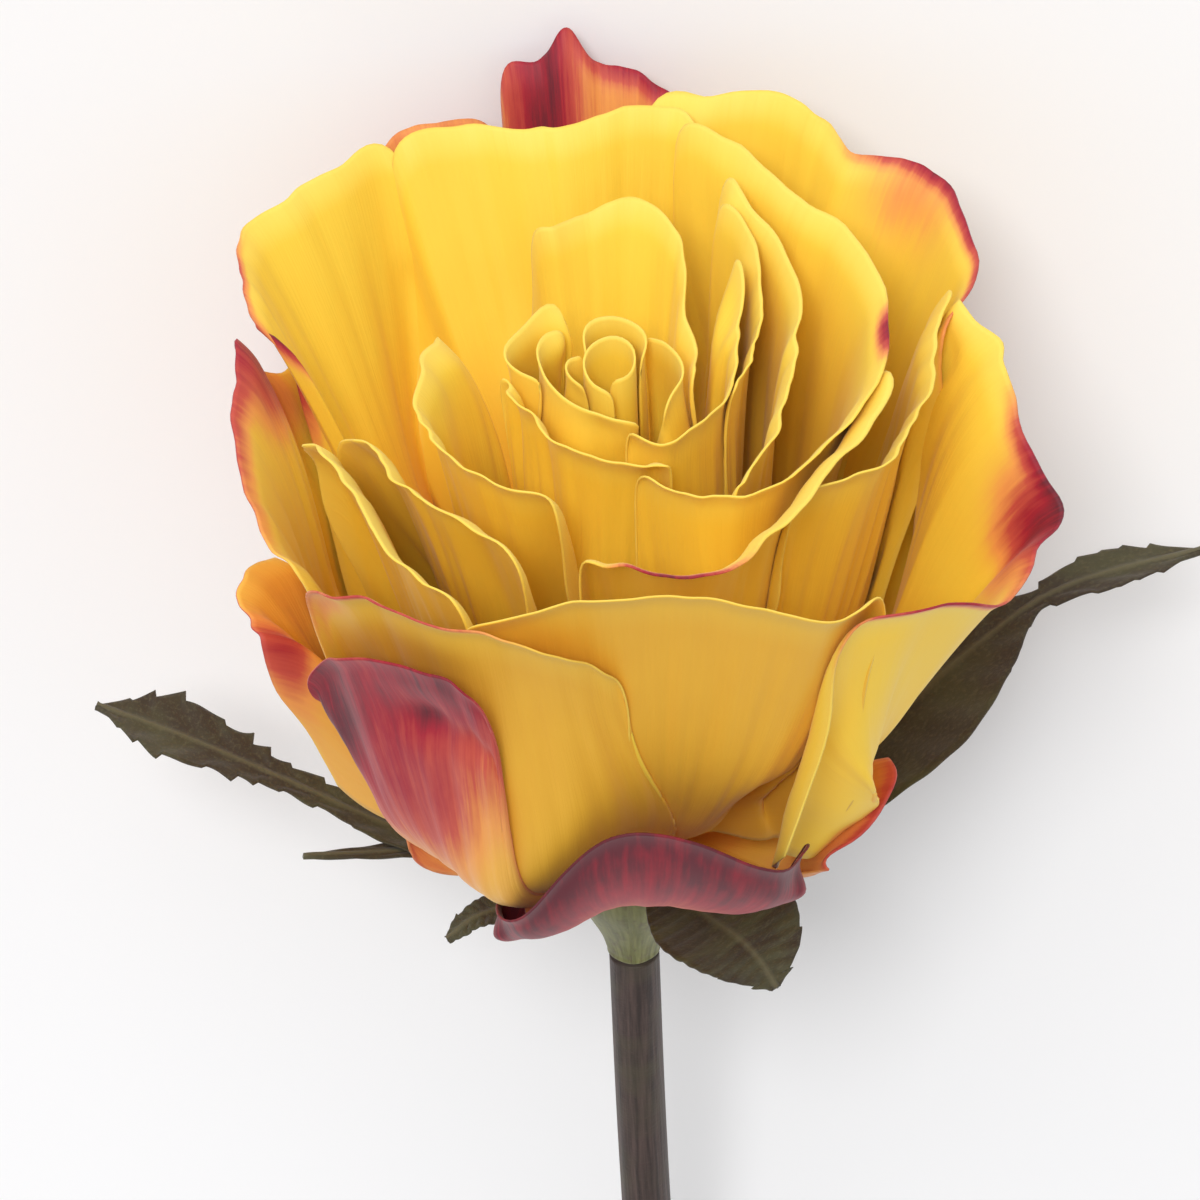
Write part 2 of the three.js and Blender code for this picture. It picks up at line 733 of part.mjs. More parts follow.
// One row of a blade: five points across the path, the edges raised by the camber
function ribRow(path, along, width) {
  const here = polar(...path.getPoint(along).toArray());
  const ahead = polar(...path.getPoint(Math.min(1, along + LOOK_AHEAD)).toArray());
  const behind = polar(...path.getPoint(Math.max(0, along - LOOK_AHEAD)).toArray());
  const forward = ahead.sub(behind).normalize();
  const across = forward.clone().cross(UPRIGHT).normalize();
  const up = across.clone().cross(forward).normalize();
  return RIB_PLACES.map((s) =>
    here
      .clone()
      .addScaledVector(across, s * width)
      .addScaledVector(up, SEPAL_CAMBER * width * s * s),
  );
}

// A slender side lobe that leaves a sepal's edge
function sepalLobe(sepal, lobe) {
  const path = curveThrough(sepal.path);
  const root = polar(...path.getPoint(lobe.at).toArray());
  const ahead = polar(...path.getPoint(lobe.at + LOOK_AHEAD).toArray());
  const forward = ahead.sub(root).normalize();
  const width = lerpList(sepal.width, lobe.at);
  const heading = forward.clone().applyAxisAngle(UPRIGHT, -lobe.side * radians(lobe.turn));
  const across = forward.clone().cross(UPRIGHT).normalize();
  const start = root.clone().addScaledVector(across, lobe.side * width * LOBE_ROOT_INSET);
  const side = heading.clone().cross(UPRIGHT).normalize();
  return LOBE_STATIONS.map((t) => {
    const here = start.clone().addScaledVector(heading, t * lobe.length);
    const half = THREE.MathUtils.lerp(LOBE_ROOT_HALF_WIDTH, LOBE_TIP_HALF_WIDTH, t);
    return [-1, 1].map((s) => here.clone().addScaledVector(side, s * half));
  });
}

function makeSepal(sepal) {
  let solid = solidOf(sheetGeometry(sepalBlade(sepal), SEPAL_THICKNESS));
  for (const lobe of sepal.lobes) {
    solid = solid.add(solidOf(sheetGeometry(sepalLobe(sepal, lobe), LOBE_THICKNESS)));
  }
  return named(sepal.name, geometryOf(solid), SEPAL_GREEN);
}

// Rings of a round body swept along a path
function sweptBody(path, steps, sides, radiusAt, slopeAt) {
  const frames = path.computeFrenetFrames(steps, false);
  const points = [];
  for (let step = 0; step <= steps; step += 1) {
    const here = path.getPointAt(step / steps);
    const radius = radiusAt(step / steps);
    for (let side = 0; side < sides; side += 1) {
      const turn = (2 * Math.PI * side) / sides;
      const out = new THREE.Vector3()
        .addScaledVector(frames.normals[step], Math.cos(turn))
        .addScaledVector(frames.binormals[step], Math.sin(turn));
      const slide = slopeAt(step / steps) * radius * Math.cos(turn);
      points.push(here.clone().addScaledVector(out, radius).addScaledVector(frames.tangents[step], slide));
    }
  }
  return { points, faces: tubeFaces(steps, sides) };
}

// Faces of a tube of rings, closed by a fan at either end
function tubeFaces(steps, sides) {
  const faces = [];
  for (let step = 0; step < steps; step += 1) {
    for (let side = 0; side < sides; side += 1) {
      const next = (side + 1) % sides;
      const [a, b] = [step * sides + side, step * sides + next];
      faces.push([a, b, b + sides], [a, b + sides, a + sides]);
    }
  }
  for (let side = 1; side + 1 < sides; side += 1) {
    faces.push([0, side + 1, side]);
    const last = steps * sides;
    faces.push([last, last + side, last + side + 1]);
  }
  return faces;
}

// Faces turned to look outwards
function outward(geometry) {
  const solid = solidOf(geometry);
  if (solid.volume() < 0) {
    const index = geometry.index.array;
    for (let i = 0; i < index.length; i += 3) [index[i + 1], index[i + 2]] = [index[i + 2], index[i + 1]];
  }
  return geometry;
}

function makeStem() {
  const path = new THREE.CatmullRomCurve3(STEM_PATH.map((p) => new THREE.Vector3(...p)));
  const radiusAt = (t) => {
    const swell = SCARS.reduce((sum, scar) => sum + Math.exp(-(((t - scar) / SCAR_LENGTH) ** 2)), 0);
    return STEM_RADIUS + SCAR_SWELL * swell;
  };
  const slopeAt = (t) => (t === 1 ? CUT_SLOPE : 0);
  const { points, faces } = sweptBody(path, STEM_STEPS, STEM_SIDES, radiusAt, slopeAt);
  let solid = solidOf(outward(bodyGeometry(points, faces)));
  for (const prickle of PRICKLES) solid = solid.add(prickleSolid(path, prickle));
  return named("stem", geometryOf(solid), STEM_BROWN);
}

// A prickle: a flattened cone sunk into the stem, its point drooping away from the bloom
function prickleSolid(path, prickle) {
  const root = path.getPointAt(prickle.at);
  const outwards = polar(prickle.turn, 1, 0);
  const across = outwards.clone().cross(UPRIGHT);
  const points = [];
  for (let side = 0; side < PRICKLE_SIDES; side += 1) {
    const turn = (2 * Math.PI * side) / PRICKLE_SIDES;
    points.push(
      root
        .clone()
        .addScaledVector(outwards, STEM_RADIUS - PRICKLE_SINK)
        .addScaledVector(across, PRICKLE_HALF_WIDTH * Math.cos(turn))
        .add(new THREE.Vector3(0, 0, PRICKLE_HALF_HEIGHT * Math.sin(turn))),
    );
  }
  const tip = root.clone().addScaledVector(outwards, STEM_RADIUS + PRICKLE_LENGTH);
  points.push(tip.add(new THREE.Vector3(0, 0, -PRICKLE_DROOP)));
  const faces = [];
  for (let side = 0; side < PRICKLE_SIDES; side += 1) {
    faces.push([side, (side + 1) % PRICKLE_SIDES, PRICKLE_SIDES]);
    if (side > 0 && side + 1 < PRICKLE_SIDES) faces.push([0, side + 1, side]);
  }
  return solidOf(outward(bodyGeometry(points, faces)));
}

const flower = new THREE.Group();
flower.add(makePetals(), makeHip(), ...SEPALS.map(makeSepal), makeStem());

// The flower turns onto its back and is laid with its axis rising towards the bloom.
flower.rotation.set(Math.PI / 2 - AXIS_RISE, 0, Math.PI);
flower.position.copy(PETAL_BASE);

const group = new THREE.Group();
group.add(flower);
export default group;
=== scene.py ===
"""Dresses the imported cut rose: its petals, hip, sepals and stem, with a floor, soft light and camera.

The flower is laid out upright round its own axis in millimetres, as its solids are. Each finished
mesh is then turned to the lying pose and scaled to metres.
"""

import logging
import math
from dataclasses import dataclass, field
from enum import Enum

import bpy
import numpy as np
from mathutils import Matrix, Vector
from mathutils.bvhtree import BVHTree


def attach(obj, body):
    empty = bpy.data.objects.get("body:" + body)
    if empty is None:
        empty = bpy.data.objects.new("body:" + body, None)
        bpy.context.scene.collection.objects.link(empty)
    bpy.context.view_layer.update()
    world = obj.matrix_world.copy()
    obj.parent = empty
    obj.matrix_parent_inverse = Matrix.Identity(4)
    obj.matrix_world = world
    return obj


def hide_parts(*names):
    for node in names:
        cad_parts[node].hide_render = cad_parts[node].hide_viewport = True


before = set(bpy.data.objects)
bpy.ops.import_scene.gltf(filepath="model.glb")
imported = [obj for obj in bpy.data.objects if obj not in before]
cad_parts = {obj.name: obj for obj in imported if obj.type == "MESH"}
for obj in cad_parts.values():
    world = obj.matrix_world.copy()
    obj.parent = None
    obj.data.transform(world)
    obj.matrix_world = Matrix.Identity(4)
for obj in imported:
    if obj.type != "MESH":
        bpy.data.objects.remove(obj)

log = logging.getLogger("rose")
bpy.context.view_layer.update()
BODY = "root"
MILLIMETRE = 0.001
SEED = 11
TINY = 1e-9

Array = np.ndarray
Socket = bpy.types.NodeSocket
Pair = tuple[float, float]
Point = tuple[float, float, float]
Colour = tuple[float, float, float]


class Side(Enum):
    """Which face of a petal a patch of colour is on."""

    INNER = "inner"
    OUTER = "outer"
    BOTH = "both"


class LyingPose:
    """The turn and shift that lay the upright flower on its back.

    AXIS_RISE is how far its axis rises from the floor, and PETAL_BASE is where the base of its petals
    comes to lie, in millimetres.
    """

    AXIS_RISE = math.radians(11.38)
    PETAL_BASE = np.array([2.86, -47.36, 38.38])

    @classmethod
    def turn(cls) -> Array:
        """The turn from the upright flower to the lying one, as a 3 by 3 matrix."""
        half_turn = Matrix.Rotation(math.pi, 3, "Z")
        return np.array(Matrix.Rotation(math.pi / 2 - cls.AXIS_RISE, 3, "X") @ half_turn)

    @classmethod
    def place(cls, points: Array) -> Array:
        """Lays points of the upright flower down.

        Args:
            points: Points in millimetres, one to a row.

        Returns:
            The same points in the frame, in metres.
        """
        return (points @ cls.turn().T + cls.PETAL_BASE) * MILLIMETRE

    @classmethod
    def lift(cls, points: Array) -> Array:
        """Takes points of the frame back to the upright flower.

        Args:
            points: Points in metres, one to a row.

        Returns:
            The same points round the upright axis, in millimetres.
        """
        return (points / MILLIMETRE - cls.PETAL_BASE) @ cls.turn()

    @classmethod
    def heading(cls, direction: Point) -> Vector:
        """A direction of the upright flower, as it lies."""
        return Vector(cls.turn() @ np.array(direction))


def stacked(*parts: Array | float) -> Array:
    """Parts spread to one shape and laid side by side along a new last axis."""
    return np.stack(np.broadcast_arrays(*parts), axis=-1)


def unit(vectors: Array) -> Array:
    """Vectors along the last axis, brought to a length of 1."""
    return vectors / np.maximum(np.linalg.norm(vectors, axis=-1, keepdims=True), TINY)


def line_length(points: Array) -> float:
    """The length of a line of points, one to a row."""
    return float(np.linalg.norm(np.diff(points, axis=0), axis=1).sum())


def polar(azimuth: Array | float, radius: Array | float, height: Array | float) -> Array:
    """Points of the upright flower.

    Args:
        azimuth: Degrees round the axis, 0 at the front and 90 at the right.
        radius: Millimetres from the axis.
        height: Millimetres above the petals' base.

    Returns:
        The points, with x, y and z along the last axis.
    """
    turn = np.radians(azimuth)
    return stacked(radius * np.sin(turn), -radius * np.cos(turn), height)


def smooth_curve(points: Array | tuple, shares: Array) -> Array:
    """Places on a smooth curve that passes through evenly timed points.

    Args:
        points: The points, one to a row.
        shares: Where to read the curve, from 0 at its start to 1 at its end.

    Returns:
        A row for each share.
    """
    points = np.asarray(points, float)
    padded = np.vstack([2 * points[0] - points[1], points, 2 * points[-1] - points[-2]])
    place = np.clip(shares, 0, 1) * (len(points) - 1)
    start = np.minimum(place.astype(int), len(points) - 2)
    t = (place - start)[:, None]
    before, here, after, beyond = (padded[start + k] for k in range(4))
    leave, arrive = (after - before) / 2, (beyond - here) / 2
    square = 3 * (after - here) - 2 * leave - arrive
    cube = 2 * (here - after) + leave + arrive
    return here + leave * t + square * t**2 + cube * t**3


def soft_weights(count: int, shares: Array) -> Array:
    """Weights that read a soft curve through the neighbourhood of evenly spaced values.

    Args:
        count: How many values there are.
        shares: Where the curve is read, from 0 to 1.

    Returns:
        A row of count weights for each share.
    """
    place = np.clip(shares, 0, 1) * (count - 1)
    start = np.minimum(place.astype(int), count - 2)
    t = place - start
    parts = [(1 - t) ** 3, 3 * t**3 - 6 * t**2 + 4, -3 * t**3 + 3 * t**2 + 3 * t + 1, t**3]
    padded = np.zeros((len(shares), count + 2))
    for k, part in enumerate(parts):
        padded[np.arange(len(shares)), start + k] += part / 6
    weights = padded[:, 1:-1].copy()
    weights[:, 0] += 2 * padded[:, 0]
    weights[:, 1] -= padded[:, 0]
    weights[:, -1] += 2 * padded[:, -1]
    weights[:, -2] -= padded[:, -1]
    return weights


def smoothstep(values: Array, low: float, high: float) -> Array:
    """Values eased from 0 at low to 1 at high."""
    t = np.clip((values - low) / (high - low), 0, 1)
    return t * t * (3 - 2 * t)


def blurred(values: Array, rounds: int) -> Array:
    """A grid of values with each softened by its neighbours.

    Args:
        values: The grid.
        rounds: How many times over it is softened.

    Returns:
        The softened grid.
    """
    for _ in range(rounds):
        for axis in (0, 1):
            ends = [(1, 1) if axis == k else (0, 0) for k in (0, 1)]
            wide = np.moveaxis(np.pad(values, ends, mode="edge"), axis, 0)
            values = np.moveaxis((wide[:-2] + 2 * wide[1:-1] + wide[2:]) / 4, 0, axis)
    return values


@dataclass
class Skin:
    """A closed mesh and what is known at each of its points.

    Args:
        points: Points of the upright flower in millimetres.
        faces: Corner numbers of each face.
        values: A named value, or three, for each point, which the finishes read.
    """

    points: Array
    faces: list[tuple[int, ...]]
    values: dict[str, Array] = field(default_factory=dict)

    def joined(self, other: "Skin") -> "Skin":
        """This skin and another as one mesh.

        Args:
            other: The other skin, which has the same named values.

        Returns:
            The joined skin.
        """
        shift = len(self.points)
        faces = self.faces + [tuple(c + shift for c in face) for face in other.faces]
        values = {name: np.concatenate([self.values[name], other.values[name]]) for name in self.values}
        return Skin(np.vstack([self.points, other.points]), faces, values)

    def build(self, name: str, material: bpy.types.Material) -> bpy.types.Object:
        """Makes the Blender object, laid down, smooth and dressed, with no point below the floor.

        Args:
            name: The piece's name.
            material: What it is dressed in.

        Returns:
            The new object, linked to the scene.
        """
        mesh = bpy.data.meshes.new(name)
        places = LyingPose.place(self.points)
        places[:, 2] = np.maximum(places[:, 2], 0)
        mesh.from_pydata(places.tolist(), [], self.faces)
        for key, value in self.values.items():
            kind, entry = ("FLOAT_VECTOR", "vector") if value.ndim == 2 else ("FLOAT", "value")
            attribute = mesh.attributes.new(key, kind, "POINT")
            attribute.data.foreach_set(entry, value.astype(np.float32).ravel())
        mesh.polygons.foreach_set("use_smooth", np.ones(len(mesh.polygons), bool))
        mesh.update()
        piece = bpy.data.objects.new(name, mesh)
        piece.data.materials.append(material)
        bpy.context.scene.collection.objects.link(piece)
        return piece


def grid_normals(grid: Array) -> Array:
    """Unit normals of a grid of points, one row of points to a row of the grid."""
    return unit(np.cross(np.gradient(grid, axis=1), np.gradient(grid, axis=0)))


def grid_quads(index: Array) -> Array:
    """The corner numbers of each cell of a grid of numbered points, one cell to a row."""
    corners = [index[:-1, :-1], index[:-1, 1:], index[1:, 1:], index[1:, :-1]]
    return np.stack(corners, axis=-1).reshape(-1, 4)


def sheet(middle: Array, half: Array, values: dict[str, Array]) -> Skin:
    """A closed sheet round a grid of middle points.

    Args:
        middle: The grid, with its rows first, then columns, then x, y and z.
        half: Half the thickness at each point of the grid.
        values: Named values at each point of the grid.

    Returns:
        The skin. Its value "outer" is 1 on the face that the normals leave from and 0 on the other.
    """
    rows, columns = middle.shape[:2]
    offset = grid_normals(middle) * half[..., None]
    points = np.vstack([(middle + offset).reshape(-1, 3), (middle - offset).reshape(-1, 3)])
    count = rows * columns
    index = np.arange(count).reshape(rows, columns)
    quads = grid_quads(index)
    loop = np.concatenate([index[0, :-1], index[:-1, -1], index[-1, :0:-1], index[:0:-1, 0]])
    ahead = np.roll(loop, -1)
    border = np.stack([loop, loop + count, ahead + count, ahead], axis=-1)
    faces = np.vstack([quads, (quads + count)[:, ::-1], border])
    both = {name: np.concatenate([v.reshape(count, -1)] * 2).squeeze() for name, v in values.items()}
    both["outer"] = np.repeat([1.0, 0.0], count)
    return Skin(points, [tuple(face) for face in faces.tolist()], both)


@dataclass(frozen=True)
class Spot:
    """A soft round spot on a petal.

    Args:
        at: Which point of the rim's list it lies under, as a number that may fall between two.
        along: How far up the petal it lies, from 0 at the claw to 1 at the rim.
        wide: Half its width, in points of the rim's list.
        tall: Half its height, as a share of the petal's.
    """

    at: float
    along: float
    wide: float
    tall: float

    def weight(self, at: Array, along: Array) -> Array:
        """How strong the spot is.

        Args:
            at: Where each column lies in the rim's list.
            along: How far up each row lies.

        Returns:
            From 0 to 1 at each point of the grid.
        """
        across = np.exp(-(((at - self.at) / self.wide) ** 2))[None]
        return across * np.exp(-(((along - self.along) / self.tall) ** 2))[:, None]


@dataclass(frozen=True)
class Patch(Spot):
    """A soft patch of red on a petal.

    Args:
        strength: How much redder it is at its middle, or how much less red if below 0.
        side: The face that it shows on.
    """

    strength: float
    side: Side = Side.BOTH


@dataclass(frozen=True)
class Fold(Spot):
    """A local push of a petal's surface.

    Args:
        out: Millimetres outwards, or inwards if below 0.
        up: Millimetres upwards, or downwards if below 0.
        turn: Degrees round the axis.
    """

    out: float = 0.0
    up: float = 0.0
    turn: float = 0.0


@dataclass(frozen=True)
class Margin:
    """How an end of a rim runs down into the petal's side.

    Args:
        turn: Degrees outwards round the bloom.
        radius: Share of the end's radius.
        height: Share of the end's height.
    """

    turn: float
    radius: float
    height: float


UNDER_FLUSH = (Patch(2.5, 0.98, 2.6, 0.1, 0.75),)
MARGIN = (Margin(1, 0.94, 0.76), Margin(6, 0.82, 0.42))
TUCKED_MARGIN = (Margin(0.5, 0.94, 0.78), Margin(-3, 0.82, 0.42))
ROLLED_MARGIN = (Margin(0, 0.97, 0.92), Margin(-3, 0.88, 0.7))
HEART_MARGIN = (Margin(1.5, 0.98, 0.93), Margin(3, 0.96, 0.84))


@dataclass(frozen=True)
class PetalPlan:
    """One petal's shape and flush.

    Args:
        name: The CAD node's name.
        flare: Degrees that the rim leans out of the upright.
        rim: The rim as [azimuth, radius, height] points.
        lean: Where the petal's own axis has moved to at the rim.
        margin: How either end of the rim runs down.
        sag: Degrees by which the petal leaves its claw flatter than its place in the bloom gives.
        tuck: Which way either side lies down on its neighbour: -1 inwards, 1 outwards, 0 neither.
        curl: Millimetres that the rim's lip rolls outwards.
        ruffle: Millimetres that the rim waves.
        warmth: How far the whole petal is flushed.
        patches: Its patches of red.
        folds: Its local folds.
    """

    name: str
    flare: float
    rim: tuple[Point, ...]
    lean: Pair = (0.0, 0.0)
    margin: tuple[Margin, ...] = MARGIN
    sag: float = 0.0
    tuck: tuple[int, int] = (-1, -1)
    curl: float = 0.6
    ruffle: float = 0.18
    warmth: float = 0.0
    patches: tuple[Patch, ...] = ()
    folds: tuple[Fold, ...] = ()


HEART_LEAN = (-0.3, 2.0)
PETALS = (
    PetalPlan(
        "petal_01_heart_core", 0,
        ((15, 2.7, 56.5), (60, 2.5, 57.4), (120, 2.4, 58.6), (180, 2.4, 59), (240, 2.5, 58.4),
         (300, 2.7, 57.4), (345, 2.9, 56.5)),
        HEART_LEAN, HEART_MARGIN, tuck=(0, 0), curl=0, ruffle=0.05,
        folds=(Fold(-0.6, 0.95, 1.5, 0.4, out=-1.5, turn=-35), Fold(6.6, 0.95, 1.5, 0.4, out=0.5, turn=35)),
    ),
    PetalPlan(
        "petal_02_heart_back", -10,
        ((100, 4.1, 57), (122, 4.2, 58.6), (161, 4.6, 59.2), (190, 5.2, 59), (215, 5.6, 58.3),
         (232, 5.6, 57)),
        HEART_LEAN, HEART_MARGIN, curl=0.4, ruffle=0.05,
    ),
    PetalPlan(
        "petal_03_heart_left", -12,
        ((245, 4.2, 57.2), (256, 4.2, 57.8), (276, 4.3, 57.8), (295, 4.6, 57.4), (312, 4.9, 56.6)),
        HEART_LEAN, HEART_MARGIN, curl=0.3, ruffle=0.05,
    ),
    PetalPlan(
        "petal_04_heart_wrap", -8,
        ((226, 7, 58), (237, 7, 58.6), (258, 6.6, 58.5), (279, 6.1, 58.3), (306, 6.1, 57.9),
         (334, 6.4, 57.4), (355, 6.9, 56.9), (377, 7.2, 56)),
        HEART_LEAN, HEART_MARGIN, curl=0.5, ruffle=0.05,
    ),
    PetalPlan(
        "petal_05_heart_right", -8,
        ((44, 8.2, 55.5), (57, 7.6, 57), (77, 6.7, 57.6), (101, 5.9, 57.9), (125, 5.7, 57.8),
         (140, 5.9, 57)),
        HEART_LEAN, HEART_MARGIN, curl=0.4, ruffle=0.05,
    ),
    PetalPlan(
        "petal_06_inner_left", 2,
        ((211, 10.3, 59.5), (230, 10.3, 59), (250, 10.8, 58.5), (262, 10.6, 57.8), (270, 9.6, 57)),
        margin=HEART_MARGIN, curl=0.5, ruffle=0.1,
    ),
    PetalPlan(
        "petal_07_inner_back", 22,
        ((93, 8.4, 56), (120, 9.6, 56.5), (145, 11.2, 57), (155, 16, 59.2), (161, 19, 60.6),
         (174, 22, 61.5), (187, 21.3, 61), (199, 23, 60), (208, 25, 58.5)),
        tuck=(-1, 1), curl=0.8, ruffle=0.1,
        folds=(Fold(8.4, 0.95, 1.9, 0.5, up=-3.5, turn=-12), Fold(5.6, 0.97, 1.2, 0.3, up=0.6)),
    ),
    PetalPlan(
        "petal_08_inner_right", 12,
        ((8, 8.8, 55.5), (25, 9.6, 56.7), (45, 9.5, 57.2), (70, 9.3, 57), (93, 9.8, 57),
         (111, 11.3, 58.3), (121, 13.5, 59), (140, 18, 60)),
        curl=0.6, ruffle=0.1,
    ),
    PetalPlan(
        "petal_09_inner_front", 14,
        ((-94, 11.6, 56.3), (-84, 10.6, 57.5), (-72, 9.3, 57.7), (-56, 8.6, 57.6), (-37, 9.6, 57),
         (-20, 10, 56.8), (-3, 10.6, 56.5), (12, 12.8, 56.6), (22, 14.5, 55.5)),
        curl=0.8, ruffle=0.1,
    ),
    PetalPlan(
        "petal_10_inner_right_fold", 14,
        ((82, 11.6, 55.5), (96, 12, 56.8), (105, 12.8, 57.6), (114, 14.6, 58.5), (126, 17, 60),
         (141, 21, 61), (154, 24, 60.5)),
        curl=0.6, ruffle=0.1,
    ),
    PetalPlan(
        "petal_11_inner_front_left", 16,
        ((-116, 18.2, 55.5), (-105, 17.5, 58.8), (-88, 17.5, 59.8), (-76, 19, 59), (-68, 18.5, 58.3),
         (-60, 19, 58), (-48, 18.5, 57.8), (-35, 17.5, 56.6), (-21, 16.5, 54.5)),
        curl=0.8,
    ),
    PetalPlan(
        "petal_12_middle_right_fold", 16,
        ((33, 18.8, 55), (40, 18.3, 57), (57, 17, 58), (73, 16.2, 58.3), (90, 16.4, 59),
         (105, 17.8, 60), (125, 20.5, 61), (145, 24.5, 61.5), (156, 27.5, 61)),
        curl=0.6,
    ),
    PetalPlan(
        "petal_13_middle_right", 24,
        ((8, 13.8, 55.4), (16, 16, 57), (24, 18.3, 57.8), (34, 20.2, 58), (56, 21.3, 58.3),
         (76, 23.5, 60), (100, 25.5, 61.5), (125, 26.5, 62.3), (142, 27.2, 62.4), (158, 31.5, 62.3),
         (168, 34, 61)),
        curl=0.9,
        patches=(Patch(5.7, 1.0, 0.25, 0.02, 0.95),),
    ),
    PetalPlan(
        "petal_14_middle_left", 22,
        ((-83, 26, 52), (-75, 25.3, 56.5), (-67, 24.6, 58.4), (-60, 24.6, 58.4), (-53, 24.9, 58),
         (-45, 24.5, 57.7), (-35, 24.3, 56.8), (-22, 25, 54.5)),
        curl=0.8,
    ),
    PetalPlan(
        "petal_15_middle_front", 36,
        ((-9, 24, 54.5), (-3, 25.3, 56.4), (3, 27.3, 57.4), (10, 29.6, 57.9), (18, 30, 58),
         (26, 27.8, 58.2), (34, 26.3, 58.5), (45, 24.3, 58.8), (57, 23.4, 59), (70, 24.6, 59.5),
         (84, 26, 59)),
        curl=1.2,
        patches=(Patch(2.8, 1.0, 1.5, 0.018, 0.9),),
    ),
    PetalPlan(
        "petal_16_outer_back", 30,
        ((164, 37, 59.5), (172, 37.4, 61.2), (179, 36.4, 61.4), (186, 35.6, 60.8), (192, 36.6, 60.3),
         (200, 39.5, 60), (210, 41, 58.5)),
        curl=0.8,
    ),
    PetalPlan(
        "petal_17_outer_right_inner", 22,
        ((42, 26.8, 56), (52, 27.5, 57.2), (62, 28, 57.5), (73, 28, 57.8), (85, 28.8, 58.5),
         (97, 30.5, 59.3), (107, 32.6, 58.6)),
        curl=0.8,
    ),
    PetalPlan(
        "petal_18_outer_left_inner", 24,
        ((-83, 31, 51), (-77, 30.2, 56), (-70, 29.2, 58.4), (-60, 28.7, 58.3), (-51, 30, 58),
         (-43, 31.3, 57.2), (-35, 32, 55.8), (-27, 32, 53.5)),
        curl=0.8,
    ),
    PetalPlan(
        "petal_19_outer_upper_right", 32,
        ((105, 33.6, 57.5), (111, 35.8, 59), (121, 38.4, 60.3), (130, 40.6, 60.8), (136, 39.4, 60.8),
         (142, 37.6, 60.8), (149, 39.4, 61.6), (156, 40, 62), (165, 38.6, 61.4), (174, 38.8, 60)),
        curl=0.8,
        folds=(Fold(-1.0, 0.8, 1.9, 0.6, turn=-10),),
        patches=(Patch(3.2, 0.97, 1.2, 0.1, 0.3), Patch(2.4, 1.0, 2.4, 0.012, 0.8)),
    ),
    PetalPlan(
        "petal_20_outer_upper_left", 32,
        ((209.5, 41.2, 57.6), (218, 41, 58.4), (226, 41.6, 58.4), (234, 42.6, 58), (240, 41, 57.6),
         (245, 38.2, 57), (248.5, 36.6, 55), (247.5, 33.5, 51.7)),
        curl=0.8,
        patches=(Patch(6.8, 1.0, 0.9, 0.06, 0.95), Patch(4.6, 1.0, 1.3, 0.008, 0.5)),
    ),
    PetalPlan(
        "petal_21_outer_left", 28,
        ((-124, 36.5, 45.5), (-114, 36.4, 48), (-107, 36.2, 52.5), (-101, 35.6, 58.3), (-94, 35.2, 57),
         (-86, 35.2, 55.5), (-74, 35.6, 53.4), (-65, 35.4, 51.4), (-57, 35, 50)),
        curl=0.8,
        patches=(
            Patch(2.7, 0.95, 1.4, 0.11, 0.9),
            Patch(4.6, 0.9, 2.2, 0.16, 0.45, Side.OUTER),
            Patch(4.8, 1.0, 2.4, 0.03, 0.5),
        ),
    ),
    PetalPlan(
        "petal_22_outer_front_right", 20,
        ((-26, 31.4, 52), (-16, 31.3, 55.6), (-6, 31.3, 57.2), (5, 31.8, 57.6), (15, 33.2, 57.3),
         (23, 35.8, 56), (31, 37.4, 54.2), (39, 37, 53.5)),
        curl=0.9,
    ),
    PetalPlan(
        "petal_23_outer_front_left", 24,
        ((-52, 36.6, 51), (-44, 37, 54.6), (-36, 36.6, 56), (-27, 36.2, 56), (-19, 35, 55),
         (-12, 33.8, 52.5), (-6, 32.6, 48.5), (-1, 31, 43)),
        margin=TUCKED_MARGIN,
        curl=0.9,
        patches=(Patch(2.0, 1.0, 2.2, 0.012, 0.6), Patch(0.2, 0.96, 0.8, 0.05, 0.3)),
        folds=(Fold(9.5, 0.42, 4.2, 0.3, turn=19),),
    ),
    PetalPlan(
        "petal_24_outer_right", 38,
        ((33, 39.4, 51), (41, 39, 53), (49, 40.2, 51.3), (57, 41.6, 47.6), (67, 41.2, 47.8),
         (76, 42.4, 47.6), (79, 39.6, 51.5), (84, 36.8, 56.3), (90, 35.8, 58), (97, 34.8, 58.9),
         (104, 33.2, 58.6)),
        curl=0.7,
        folds=(Fold(-1.6, 0.4, 1.7, 0.22, turn=15, out=-1),),
        patches=(
            Patch(5.0, 0.95, 0.9, 0.1, 0.8),
            Patch(4.6, 0.97, 1.5, 0.1, 0.3),
            Patch(5.5, 1.0, 1.4, 0.02, 0.9),
            Patch(1.6, 1.0, 1.6, 0.015, 0.8),
        ),
    ),
    PetalPlan(
        "petal_25_guard_back_left", 34,
        ((194, 45, 54), (200, 45.8, 56.4), (206, 45.6, 56), (212, 44.6, 54), (218, 42.6, 50)),
        warmth=0.35,
    ),
    PetalPlan(
        "petal_26_guard_back", 28,
        ((169, 44.5, 56.5), (173, 45.6, 59), (177, 46, 60), (181, 46.6, 60.6), (184.3, 47.8, 63.8),
         (187.5, 46.8, 60.6), (192, 46, 59)),
        warmth=0.3,
        patches=(Patch(4.9, 0.92, 1.1, 0.25, 0.85), Patch(1.0, 1.0, 3.0, 0.02, 0.7)),
    ),
    PetalPlan(
        "petal_27_guard_front_left", 10,
        ((-55, 33.8, 35.5), (-53, 35.2, 41), (-46, 36, 46.3), (-38, 36, 49.3), (-30, 35.8, 50.3),
         (-24.5, 35.8, 50), (-21.5, 35.6, 46.5), (-21, 35, 39.5), (-22, 34, 31)),
        margin=TUCKED_MARGIN,
        sag=6,
        curl=0.9,
        warmth=0.42,
